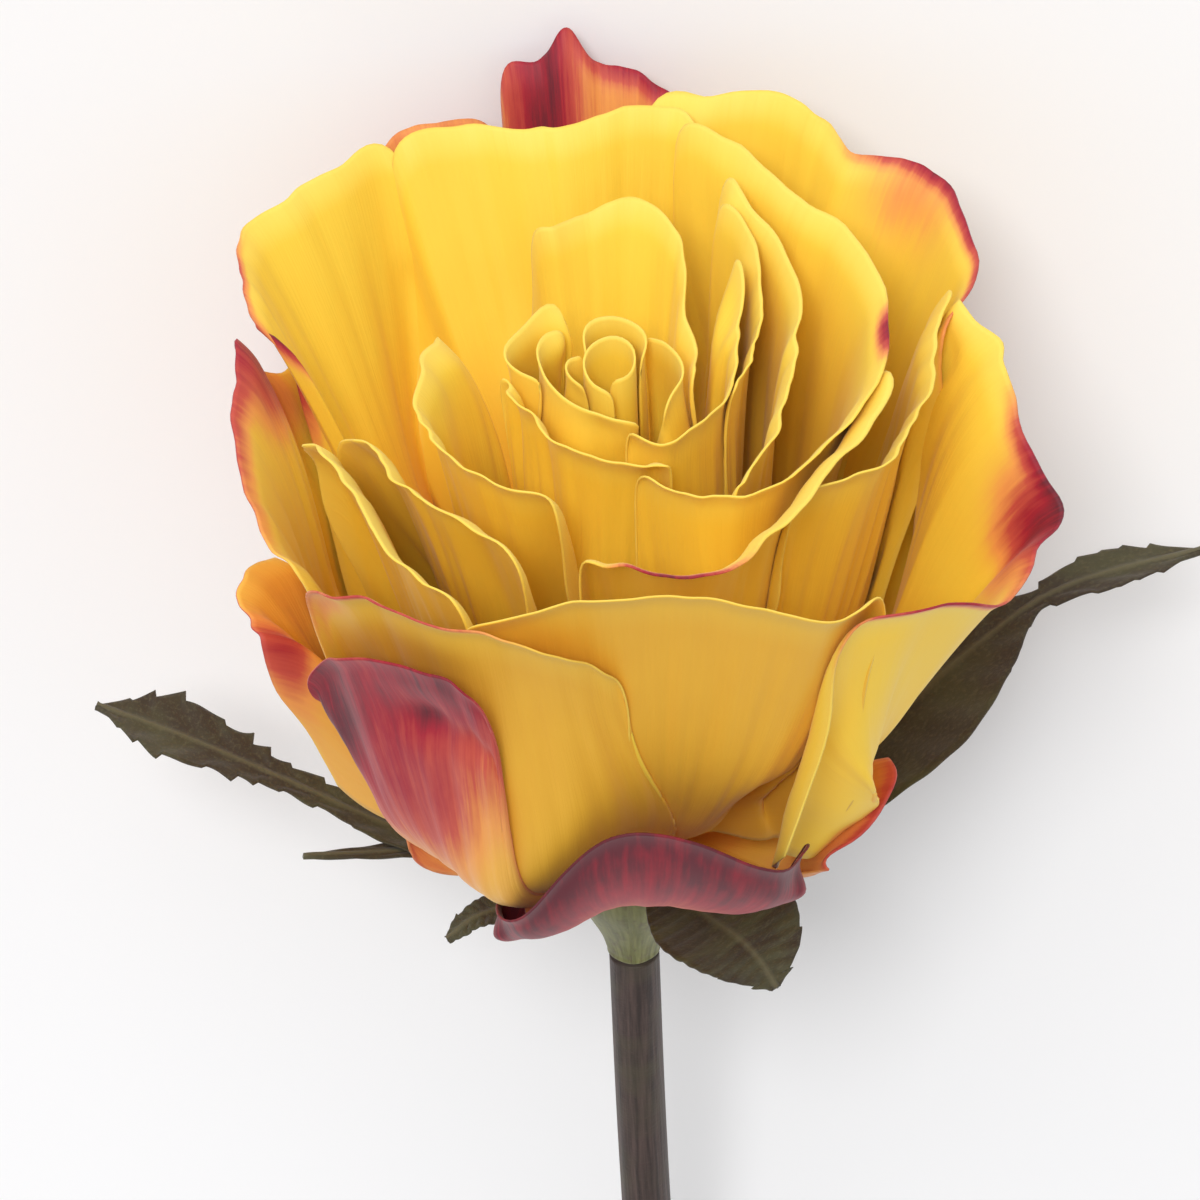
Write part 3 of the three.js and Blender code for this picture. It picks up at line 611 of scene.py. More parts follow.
        patches=(
            Patch(1.0, 0.88, 1.7, 0.24, 0.97, Side.OUTER),
            Patch(4.4, 0.96, 2.0, 0.13, 0.8),
            Patch(3.6, 0.84, 0.35, 0.03, 0.9, Side.OUTER),
            Patch(3.0, 0.66, 1.8, 0.2, 0.45, Side.OUTER),
            Patch(6.0, 0.5, 1.5, 0.2, -0.35, Side.OUTER),
        ),
        folds=(
            Fold(3.6, 0.84, 0.6, 0.05, out=-1.4),
            Fold(4.3, 0.97, 1.7, 0.07, out=1.5),
            Fold(5.2, 0.82, 1.2, 0.035, out=-0.8),
        ),
    ),
    PetalPlan(
        "petal_28_guard_front", -4,
        ((-31, 27, 11), (-27, 28, 12.8), (-20, 28.6, 15.5), (-12, 29.6, 22), (-4, 30.2, 27),
         (4, 30.5, 27.8), (12, 30.7, 26), (21, 31, 22.6), (29, 31, 20), (35, 30.6, 19)),
        margin=ROLLED_MARGIN,
        sag=2,
        curl=0.8,
        warmth=0.95,
        patches=(Patch(4.0, 1.0, 5.0, 0.1, 1.0), Patch(7.6, 0.92, 1.6, 0.2, -0.6, Side.INNER)),
    ),
    PetalPlan(
        "petal_29_guard_left", 32,
        ((-90, 34, 36), (-85, 35.2, 39), (-80, 36, 40.2), (-76, 36.8, 39.5), (-72, 37, 38.5),
         (-69, 36.6, 37)),
        margin=TUCKED_MARGIN,
        curl=0.9,
        warmth=0.12,
        patches=(Patch(2.5, 0.88, 3.0, 0.16, 0.85, Side.OUTER), Patch(4.8, 0.97, 1.0, 0.06, 0.6)),
    ),
    PetalPlan(
        "petal_30_guard_right", 45,
        ((44, 27.6, 10), (47, 29, 13.5), (53, 29.8, 17), (59, 29.8, 19.2), (65, 29, 18.6),
         (71, 27.4, 15.5)),
        margin=ROLLED_MARGIN,
        sag=-16,
        curl=0.6,
        warmth=0.3,
        patches=(Patch(2.0, 1.0, 3.0, 0.05, 0.45),),
        folds=(Fold(-0.6, 0.95, 1.7, 0.4, up=2.4),),
    ),
    PetalPlan(
        "petal_31_guard_under_right", 36,
        ((124, 36, 29), (134, 41.5, 36), (145, 46.5, 40.5), (155, 49.4, 42.5), (164, 49, 42),
         (173, 45.4, 37)),
        warmth=0.4,
        patches=UNDER_FLUSH,
    ),
    PetalPlan(
        "petal_32_guard_under_left", 36,
        ((188, 45, 36.5), (196, 48, 41), (204, 49.8, 42.5), (213, 48.2, 41), (223, 43.5, 36.5),
         (234, 38, 29)),
        warmth=0.4,
        patches=UNDER_FLUSH,
    ),
)


@dataclass
class Grid:
    """A petal's fine middle surface, in rows from claw to rim.

    Args:
        points: Its points.
        outwards: The level direction out of the petal's axis at each point.
        across: Each column's share of the way from one side to the other.
        along: Each row's share of the way from claw to rim.
        at: Each column's place in the rim's list of points.
        width: The rim's length in millimetres.
        length: The petal's length in millimetres.
    """

    points: Array
    outwards: Array
    across: Array
    along: Array
    at: Array
    width: float
    length: float


@dataclass
class Petal:
    """One petal: a fine sheet that follows its solid.

    Args:
        plan: Its shape and flush.
        order: Its place from the heart outwards, from 0.
        material: What it is dressed in.
        claw_radius: How far from the axis its claw starts, for the first petal and the last.
        claw_height: How high its claw starts, for the first petal and the last.
        claw_half_width: Half the claw's width in millimetres.
        claw_lean: Degrees above the level at which the petal leaves its claw, for the first and the last.
        claw_lean_power: How that passes from the first petal to the last.
        claw_reach: How far the petal keeps its claw's direction, as a share of its length.
        rim_reach: How far below its rim it takes up its flare, as a share of its length.
        spread_power: How soon it widens above its claw.
        solid_columns: Columns of cells in the solid's grid.
        solid_rows: Rows of cells in the solid's grid.
        solid_thickness: The solid's thickness.
        solid_slack: How far the distance between the solid's two faces may be off its thickness.
        solid_miss: How far the solid's middle may lie beside the line on which it is looked for.
        inward_doubt: How much less likely the solid's middle is per millimetre that it lies inwards.
        trial: Points across and along of the coarse grid that the petal is measured on.
        fine_step: Millimetres between the points of the fine grid.
        fine_columns: The fewest and the most points across.
        fine_rows: The fewest and the most points along.
        rim_crowding: How much closer the rows stand towards the rim.
        claw_half_thickness: Half the thickness at the claw.
        rim_half_thickness: Half the thickness at the rim.
        taper: Where along the petal its thickness starts and ends falling.
        lip: How far below the rim the lip starts to roll.
        lip_ends: The share of the rim at either end where the roll starts and is full.
        tuck_clearance: How far off its neighbour a side is laid.
        tuck_full: The gap up to which a side is laid down fully.
        tuck_none: The gap from which it stays where it is.
        tuck_width: How wide the laid side is, in points of the rim's list.
        tuck_start: Where along the petal its sides start to be laid down, and are so fully.
        tuck_blur: How many times over the laying down is softened.
        pitch_most: The greatest share of a wave's pitch that is drawn.
        wave_shift: The most radians by which a wave is shifted.
        ruffle_pitches: Millimetres from wave to wave of the rim, for each of its waves.
        ruffle_least: The least share of a pitch that is drawn.
        ruffle_slide: Radians by which the waves may lean between claw and rim.
        ruffle_power: How steeply the waves grow towards the rim.
        crease: Millimetres that the creases are deep.
        crease_pitches: Millimetres from crease to crease, for each set.
        crease_least: The least share of a pitch that is drawn.
        crease_bend: Radians by which the creases bend.
        crease_sway: Radians that the bending turns along the petal, and the most by which it is shifted.
        crease_start: Where along the petal the creases start and are full.
        crease_end: Where they start and end fading.
        crease_fade: How much of them has faded at the rim.
        crease_width: The rim's length below which the creases grow shallower.
        warmth_rise: Where along the petal its own flush starts and is full.
        grain_shift: How far apart two petals' grain is drawn, so that no two are alike.
    """

    plan: PetalPlan
    order: int
    material: bpy.types.Material
    claw_radius: Pair = (1.1, 6.4)
    claw_height: Pair = (12.0, 1.4)
    claw_half_width: float = 1.25
    claw_lean: Pair = (86.0, 4.0)
    claw_lean_power: float = 0.8
    claw_reach: float = 0.42
    rim_reach: float = 0.34
    spread_power: float = 2.2
    solid_columns: int = 11
    solid_rows: int = 7
    solid_thickness: float = 0.6
    solid_slack: float = 0.004
    solid_miss: float = 0.05
    inward_doubt: float = 0.02
    trial: tuple[int, int] = (30, 20)
    fine_step: float = 0.75
    fine_columns: tuple[int, int] = (28, 100)
    fine_rows: tuple[int, int] = (40, 84)
    rim_crowding: float = 1.15
    claw_half_thickness: float = 0.26
    rim_half_thickness: float = 0.1
    taper: Pair = (0.1, 1.0)
    lip: float = 3.0
    lip_ends: Pair = (0.04, 0.2)
    tuck_clearance: float = 0.45
    tuck_full: float = 3.5
    tuck_none: float = 8.0
    tuck_width: float = 2.2
    tuck_start: Pair = (0.15, 0.45)
    tuck_blur: int = 6
    pitch_most: float = 1.2
    wave_shift: float = 6.28
    ruffle_pitches: tuple[float, ...] = (17.0, 10.0, 6.0)
    ruffle_least: float = 0.85
    ruffle_slide: float = 2.0
    ruffle_power: int = 5
    crease: float = 0.13
    crease_pitches: tuple[float, ...] = (9.0, 5.5, 3.4)
    crease_least: float = 0.8
    crease_bend: float = 1.5
    crease_sway: float = 3.0
    crease_start: Pair = (0.2, 0.6)
    crease_end: Pair = (0.7, 1.0)
    crease_fade: float = 0.8
    crease_width: float = 30.0
    warmth_rise: Pair = (0.05, 0.9)
    grain_shift: float = 13.7

    def full_rim(self) -> Array:
        """The rim with its low margins at either end.

        Returns:
            A row of azimuth, radius and height for each point.
        """
        rim = np.array(self.plan.rim, float)
        low = []
        for end, side in ((rim[0], -1), (rim[-1], 1)):
            low.append([end * (1, m.radius, m.height) + (side * m.turn, 0, 0) for m in self.plan.margin])
        return np.vstack([low[0][::-1], rim, low[1]])

    def axis(self, height: Array) -> Array:
        """Where the petal's own axis stands at each height.

        Args:
            height: Millimetres above the petals' base.

        Returns:
            The axis's points, level with the heights.
        """
        share = np.maximum(0, height / self.plan.rim[0][2]) ** 2
        return stacked(self.plan.lean[0] * share, self.plan.lean[1] * share, height)

    def surface(self, across: Array, along: Array) -> tuple[Array, Array]:
        """The petal's middle surface before its neighbours ease it outwards.

        Args:
            across: Shares of the way from one side margin to the other.
            along: Shares of the way from claw to rim.

        Returns:
            The grid of points, and the axis level with each.
        """
        share = self.order / (len(PETALS) - 1)
        rim = smooth_curve(self.full_rim(), across)
        middle = smooth_curve(self.full_rim(), np.array([0.5]))[0, 0]
        radius = np.interp(share, (0, 1), self.claw_radius)
        claw = np.array([radius, np.interp(share, (0, 1), self.claw_height)])
        rise = math.radians(np.interp(share**self.claw_lean_power, (0, 1), self.claw_lean) - self.plan.sag)
        flare = math.radians(self.plan.flare)
        edge = rim[:, 1:]
        reach = np.linalg.norm(edge - claw, axis=1)[:, None]
        leave = claw + self.claw_reach * reach * (math.cos(rise), math.sin(rise))
        arrive = edge - self.rim_reach * reach * (math.sin(flare), math.cos(flare))
        t = along[:, None, None]
        place = (1 - t) ** 3 * claw + 3 * (1 - t) ** 2 * t * leave + 3 * (1 - t) * t**2 * arrive + t**3 * edge
        claw_azimuth = middle + (2 * across - 1) * math.degrees(self.claw_half_width / radius)
        spread = (1 - (1 - along) ** self.spread_power)[:, None]
        azimuth = claw_azimuth + (rim[:, 0] - claw_azimuth) * spread
        axis = self.axis(place[..., 1])
        return polar(azimuth, place[..., 0], 0.0) + axis, axis

    def solid_ease(self) -> Array:
        """How far out the solid stands from its first surface at each point of its coarse grid.

        Two of the solid's corners that stand its thickness apart have a point of its middle between them.
        At each point of the grid, the middle that lies most nearly straight outwards is taken.

        Returns:
            Millimetres outwards, rows from claw to rim.
        """
        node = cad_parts[self.plan.name]
        co = np.empty(len(node.data.vertices) * 3)
        node.data.vertices.foreach_get("co", co)
        corners = np.unique(np.round(LyingPose.lift(co.reshape(-1, 3)), 3), axis=0)
        apart = np.linalg.norm(corners[:, None] - corners[None], axis=-1)
        first, second = np.nonzero(np.triu(np.abs(apart - self.solid_thickness) < self.solid_slack))
        middles = (corners[first] + corners[second]) / 2
        across = np.linspace(0, 1, self.solid_columns + 1)
        grid, axis = self.surface(across, np.linspace(0, 1, self.solid_rows + 1))
        outwards = unit(grid - axis)
        gap = middles - grid[..., None, :]
        ease = np.einsum("rcmk,rck->rcm", gap, outwards)
        miss = np.linalg.norm(gap - ease[..., None] * outwards[..., None, :], axis=-1)
        best = np.argmin(miss + self.inward_doubt * np.maximum(0, -ease), axis=-1)[..., None]
        worst = np.take_along_axis(miss, best, -1).max()
        if worst > self.solid_miss:
            raise ValueError(f"{self.plan.name}: the solid's grid isn't met, by {worst:.2f} mm")
        return np.take_along_axis(ease, best, -1)[..., 0]

    def grid(self) -> Grid:
        """The fine grid, eased as the solid is, rolled at its lip, waved, creased and folded."""
        columns, rows = self.trial
        coarse, _ = self.surface(np.linspace(0, 1, columns), np.linspace(0, 1, rows))
        width, length = line_length(coarse[-1]), line_length(coarse[:, columns // 2])
        across = np.linspace(0, 1, int(np.clip(width / self.fine_step, *self.fine_columns)))
        along = np.linspace(0, 1, int(np.clip(length / self.fine_step, *self.fine_rows)))
        along = 1 - (1 - along) ** self.rim_crowding
        points, axis = self.surface(across, along)
        margins = len(self.plan.margin)
        at = across * (len(self.plan.rim) + 2 * margins - 1) - margins
        grid = Grid(points, unit(points - axis), across, along, at, width, length)
        ease = self.solid_ease()
        out = soft_weights(ease.shape[0], along) @ ease @ soft_weights(ease.shape[1], across).T
        out = out + self.lip_roll(grid) + self.ruffle(grid) + self.creases(grid)
        grid.points = self.folded(grid, points + grid.outwards * out[..., None])
        return grid

    def lip_roll(self, grid: Grid) -> Array:
        """How far the lip rolls outwards near the rim.

        Args:
            grid: The petal's grid.

        Returns:
            Millimetres outwards at each point.
        """
        near = np.clip(1 - (1 - grid.along) * grid.length / self.lip, 0, 1) ** 2
        sides = smoothstep(grid.across, *self.lip_ends) * smoothstep(1 - grid.across, *self.lip_ends)
        return self.plan.curl * near[:, None] * sides[None]

    def wave_angles(self, draw: np.random.Generator, place: Array, pitch: float, least: float) -> Array:
        """The angles of a wave with a pitch and a start drawn at random.

        Args:
            draw: The seeded choice.
            place: Millimetres across at each point.
            pitch: Millimetres from wave to wave, about.
            least: The least share of the pitch that is drawn.

        Returns:
            Radians at each point.
        """
        pitch *= draw.uniform(least, self.pitch_most)
        return 2 * np.pi * place / pitch + draw.uniform(0, self.wave_shift)

    def ruffle(self, grid: Grid) -> Array:
        """Slow waves that grow towards the rim, drawn from a seeded choice for each petal.

        Args:
            grid: The petal's grid.

        Returns:
            Millimetres outwards at each point.
        """
        draw = np.random.default_rng(SEED + self.order)
        wave = np.zeros(grid.points.shape[:2])
        for pitch in self.ruffle_pitches:
            turn = self.wave_angles(draw, grid.across * grid.width, pitch, self.ruffle_least)
            slide = self.ruffle_slide * draw.uniform(-1, 1) * grid.along
            wave += np.sin(turn[None] + slide[:, None]) * pitch / self.ruffle_pitches[0]
        return self.plan.ruffle * wave * (grid.along[:, None] ** self.ruffle_power)

    def creases(self, grid: Grid) -> Array:
        """Faint lengthwise creases over the whole blade, drawn from a seeded choice for each petal.

        Args:
            grid: The petal's grid.

        Returns:
            Millimetres outwards at each point.
        """
        draw = np.random.default_rng(SEED * 10 + self.order)
        crease = np.zeros(grid.points.shape[:2])
        for pitch in self.crease_pitches:
            turn = self.wave_angles(draw, grid.across * grid.width, pitch, self.crease_least)
            amount, shift = draw.uniform(-1, 1), draw.uniform(0, self.crease_sway)
            bend = amount * np.sin(self.crease_sway * grid.along + shift)
            crease += np.sin(turn[None] + self.crease_bend * bend[:, None]) * pitch / self.crease_pitches[0]
        shown = smoothstep(grid.along, *self.crease_start)
        shown = shown * (1 - self.crease_fade * smoothstep(grid.along, *self.crease_end))
        depth = self.crease * min(1.0, grid.width / self.crease_width)
        return depth * crease * shown[:, None]

    def tucked(self, grid: Grid, crowd: "Crowd") -> Array:
        """The grid's points with its sides laid on the neighbours where those are near.

        Args:
            grid: The petal's grid.
            crowd: Every petal's grid.

        Returns:
            The points with the sides laid down.
        """
        points, at, last = grid.points, grid.at, len(self.plan.rim) - 1
        outwards = unit(points * (1, 1, 0) - (*self.plan.lean, 0) * grid.along[:, None, None] ** 2)
        ends = [1 - smoothstep(place, 0.0, self.tuck_width) for place in (at, last - at)]
        shift = np.zeros(points.shape[:2])
        for end, way in zip(ends, self.plan.tuck):
            if way == 0:
                continue
            gap = crowd.gap(self.order, points, outwards * way, end > 0)
            near = 1 - smoothstep(gap, self.tuck_full, self.tuck_none)
            shift += way * np.maximum(gap - self.tuck_clearance, 0) * near * end[None]
        shift = blurred(shift, self.tuck_blur) * smoothstep(grid.along, *self.tuck_start)[:, None]
        return points + outwards * shift[..., None]

    def folded(self, grid: Grid, points: Array) -> Array:
        """Points of the grid with the petal's local folds.

        Args:
            grid: The petal's grid.
            points: Its points as they are so far.

        Returns:
            The points with the folds.
        """
        sideways = np.cross((0.0, 0.0, 1.0), grid.outwards)
        for fold in self.plan.folds:
            weight = fold.weight(grid.at, grid.along)
            radius = np.linalg.norm(points[..., :2], axis=-1)
            points = points + (weight * fold.out)[..., None] * grid.outwards
            points = points + (weight * math.radians(fold.turn) * radius)[..., None] * sideways
            points[..., 2] += weight * fold.up
        return points

    def flush(self, at: Array, along: Array, side: Side) -> Array:
        """How red one face is.

        Args:
            at: Each column's place in the rim's list of points.
            along: Each row's share of the way from claw to rim.
            side: Which face.

        Returns:
            From 0, golden, to 1, maroon, at each point of the grid.
        """
        red = self.plan.warmth * smoothstep(along, *self.warmth_rise)[:, None] * np.ones(len(at))
        for patch in self.plan.patches:
            if patch.side in (side, Side.BOTH):
                red = red + patch.strength * patch.weight(at, along) * (1 - np.clip(red, 0, 1))
        return np.clip(red, 0, 1)

    def build(self, crowd: "Crowd") -> bpy.types.Object:
        """Makes the petal, and hides the solid that it stands for.

        Args:
            crowd: Every petal's grid.

        Returns:
            The petal's object.
        """
        grid = crowd.grids[self.order]
        middle, across, along, at = self.tucked(grid, crowd), grid.across, grid.along, grid.at
        if not self.faces_outwards(middle):
            middle, across, at = middle[:, ::-1], across[::-1], at[::-1]
        size = middle.shape[:2]
        length, width = line_length(middle[:, size[1] // 2]), line_length(middle[-1])
        taper = smoothstep(along, *self.taper)[:, None] * np.ones(size)
        half = self.claw_half_thickness + (self.rim_half_thickness - self.claw_half_thickness) * taper
        grain = stacked((across * width)[None], (along * length)[:, None], self.grain_shift * self.order)
        skin = sheet(middle, half, {"grain": grain, "along": np.broadcast_to(along[:, None], size)})
        faces = [self.flush(at, along, side).ravel() for side in (Side.OUTER, Side.INNER)]
        skin.values["flush"] = np.concatenate(faces)
        piece = skin.build(self.plan.name + "_sheet", self.material)
        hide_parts(self.plan.name)
        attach(piece, BODY)
        return piece

    def faces_outwards(self, middle: Array) -> bool:
        """Whether the grid's normals leave the bloom's axis."""
        return float((grid_normals(middle) * middle * (1, 1, 0)).sum()) > 0


class Crowd:
    """The petals' grids, and how far they stand from each other.

    Of a neighbour's rows and columns one in STEP is met. One in CLAW_SHARE of a petal's own rows, the
    lowest, doesn't look for it, and the others look as far as REACH. FAR stands for none met.
    """

    FAR = 1000.0
    STEP = 2
    REACH = 12.0
    CLAW_SHARE = 8

    def __init__(self, petals: list[Petal]) -> None:
        """Works out every petal's grid.

        Args:
            petals: The petals, from the heart outwards.
        """
        self.grids = [petal.grid() for petal in petals]

    def tree(self, members: range) -> BVHTree | None:
        """The search tree of some petals' surfaces.

        Args:
            members: The petals' places in the bloom.

        Returns:
            The tree, or None if there are no such petals.
        """
        points, faces, count = [], [], 0
        for i in members:
            grid = self.grids[i].points[:: self.STEP, :: self.STEP]
            rows, columns = grid.shape[:2]
            points.append(grid.reshape(-1, 3))
            faces.append(grid_quads(np.arange(rows * columns).reshape(rows, columns) + count))
            count += rows * columns
        return BVHTree.FromPolygons(np.vstack(points).tolist(), np.vstack(faces).tolist()) if points else None

    def gap(self, order: int, points: Array, headings: Array, wanted: Array) -> Array:
        """How far off the next petal is.

        Args:
            order: The petal's own place in the bloom.
            points: Its grid.
            headings: Which way to look from each point.
            wanted: The columns that are looked at.

        Returns:
            Millimetres at each point of the grid, and FAR where nothing is met or looked for.
        """
        gap = np.full(points.shape[:2], self.FAR)
        radius = np.linalg.norm(points[..., :2], axis=-1)
        inwards = (headings * points * (1, 1, 0)).sum() < 0
        tree = self.tree(range(order) if inwards else range(order + 1, len(self.grids)))
        if tree is None:
            return gap
        reach = np.minimum(radius, self.REACH)
        for row in range(len(points) // self.CLAW_SHARE, len(points)):
            for column in np.nonzero(wanted)[0]:
                place = row, column
                *_, distance = tree.ray_cast(points[place], headings[place], reach[place])
                if distance is not None:
                    gap[place] = distance
        return gap


@dataclass(frozen=True)
class Pattern:
    """A soft random pattern.

    Args:
        grains: How many grains there are to a unit of place, along each axis.
        detail: How many finer layers it has.
        rough: How strong the finer layers are.
    """

    grains: Point
    detail: float = 2.0
    rough: float = 0.5


@dataclass(frozen=True)
class Tint:
    """How a number tints a colour.

    Args:
        low: The number up to which nothing shows.
        high: The number from which the tint is full.
        most: How much of the second colour a full tint is.
    """

    low: float
    high: float
    most: float = 1.0


class Nodes:
    """Short ways to add and join the nodes of one material."""

    def __init__(self, name: str) -> None:
        """Starts an empty material.

        Args:
            name: The material's name.
        """
        self.material = bpy.data.materials.new(name)
        self.material.use_nodes = True
        self.tree = self.material.node_tree
        self.shader = self.tree.nodes["Principled BSDF"]
        self.output = self.tree.nodes["Material Output"]

    def add(self, kind: str, **settings: object) -> bpy.types.Node:
        """Adds a node.

        Args:
            kind: The node's type.
            **settings: Its properties.

        Returns:
            The new node.
        """
        node = self.tree.nodes.new(kind)
        for key, value in settings.items():
            setattr(node, key, value)
        return node

    def join(self, source: Socket, target: Socket) -> None:
        """Links one socket to another."""
        self.tree.links.new(source, target)

    def feed(self, socket: Socket, value: object) -> None:
        """Sets a socket, or links it.

        Args:
            socket: The socket.
            value: Its value, or the socket that gives it.
        """
        if isinstance(value, Socket):
            self.join(value, socket)
        else:
            socket.default_value = value

    def value(self, name: str) -> Socket:
        """A named value of the mesh's points, as a number."""
        return self.add("ShaderNodeAttribute", attribute_name=name).outputs["Fac"]

    def vector(self, name: str) -> Socket:
        """A named value of the mesh's points, as a vector."""
        return self.add("ShaderNodeAttribute", attribute_name=name).outputs["Vector"]

    def math(self, operation: str, first: object, second: object = 0.0) -> Socket:
        """A sum of two numbers.

        Args:
            operation: The sum's name.
            first: A number or socket.
            second: A number or socket.

        Returns:
            The result's socket.
        """
        node = self.add("ShaderNodeMath", operation=operation)
        self.feed(node.inputs[0], first)
        self.feed(node.inputs[1], second)
        return node.outputs[0]

    def blend(self, first: object, second: object, share: float) -> Socket:
        """Two numbers added, the first by its share and the second by the rest."""
        rest = self.math("MULTIPLY", second, 1 - share)
        return self.math("ADD", self.math("MULTIPLY", first, share), rest)

    def noise(self, place: Socket, pattern: Pattern) -> Socket:
        """A pattern's value, about 0.5 in the middle.

        Args:
            place: The place's socket.
            pattern: The pattern.

        Returns:
            The value's socket.
        """
        scaled = self.add("ShaderNodeVectorMath", operation="MULTIPLY")
        self.join(place, scaled.inputs[0])
        scaled.inputs[1].default_value = pattern.grains
        node = self.add("ShaderNodeTexNoise")
        self.join(scaled.outputs[0], node.inputs["Vector"])
        for key, value in (("Scale", 1.0), ("Detail", pattern.detail), ("Roughness", pattern.rough)):
            node.inputs[key].default_value = value
        return node.outputs["Fac"]

    def ramp(self, factor: object, stops: dict[float, Colour]) -> Socket:
        """Colours along a number.

        Args:
            factor: The number's socket.
            stops: The colour at each place from 0 to 1.

        Returns:
            The colour's socket.
        """
        node = self.add("ShaderNodeValToRGB")
        ramp = node.color_ramp
        while len(ramp.elements) > 1:
            ramp.elements.remove(ramp.elements[-1])
        places = list(stops)
        ramp.elements[0].position = places[0]
        ramp.elements[0].color = (*stops[places[0]], 1.0)
        for place in places[1:]:
            ramp.elements.new(place).color = (*stops[place], 1.0)
        self.feed(node.inputs["Fac"], factor)
        return node.outputs["Color"]

    def mix(self, factor: object, first: object, second: object) -> Socket:
        """Two colours mixed.

        Args:
            factor: How much of the second.
            first: A colour or socket.
            second: A colour or socket.

        Returns:
            The colour's socket.
        """
        node = self.add("ShaderNodeMix", data_type="RGBA")
        self.feed(node.inputs[0], factor)
        for socket, colour in ((node.inputs[6], first), (node.inputs[7], second)):
            self.feed(socket, (*colour, 1.0) if isinstance(colour, tuple) else colour)
        return node.outputs[2]

    def tinted(self, colour: object, number: object, tint: Tint, second: object) -> Socket:
        """A colour tinted where a number is high.

        Args:
            colour: The colour or its socket.
            number: The number's socket.
            tint: How the number tints it.
            second: The colour that it is tinted with, or its socket.

        Returns:
            The tinted colour's socket.
        """
        node = self.add("ShaderNodeMapRange")
        self.feed(node.inputs["Value"], number)
        for key, value in (("From Min", tint.low), ("From Max", tint.high), ("To Max", tint.most)):
            node.inputs[key].default_value = value
        return self.mix(node.outputs["Result"], colour, second)

    def bump(self, height: object, strength: float, distance: float) -> None:
        """Sets the shader's normal from a height.

        Args:
            height: The height's socket.
            strength: How much of it shows.
            distance: Metres that a height of 1 stands for.
        """
        node = self.add("ShaderNodeBump")
        node.inputs["Strength"].default_value = strength
        node.inputs["Distance"].default_value = distance
        self.join(height, node.inputs["Height"])
        self.join(node.outputs["Normal"], self.shader.inputs["Normal"])

    def set(self, **sockets: object) -> None:
        """Sets the shader's own sockets, with _ for a space in their names."""
        for key, value in sockets.items():
            self.feed(self.shader.inputs[key.replace("_", " ")], value)


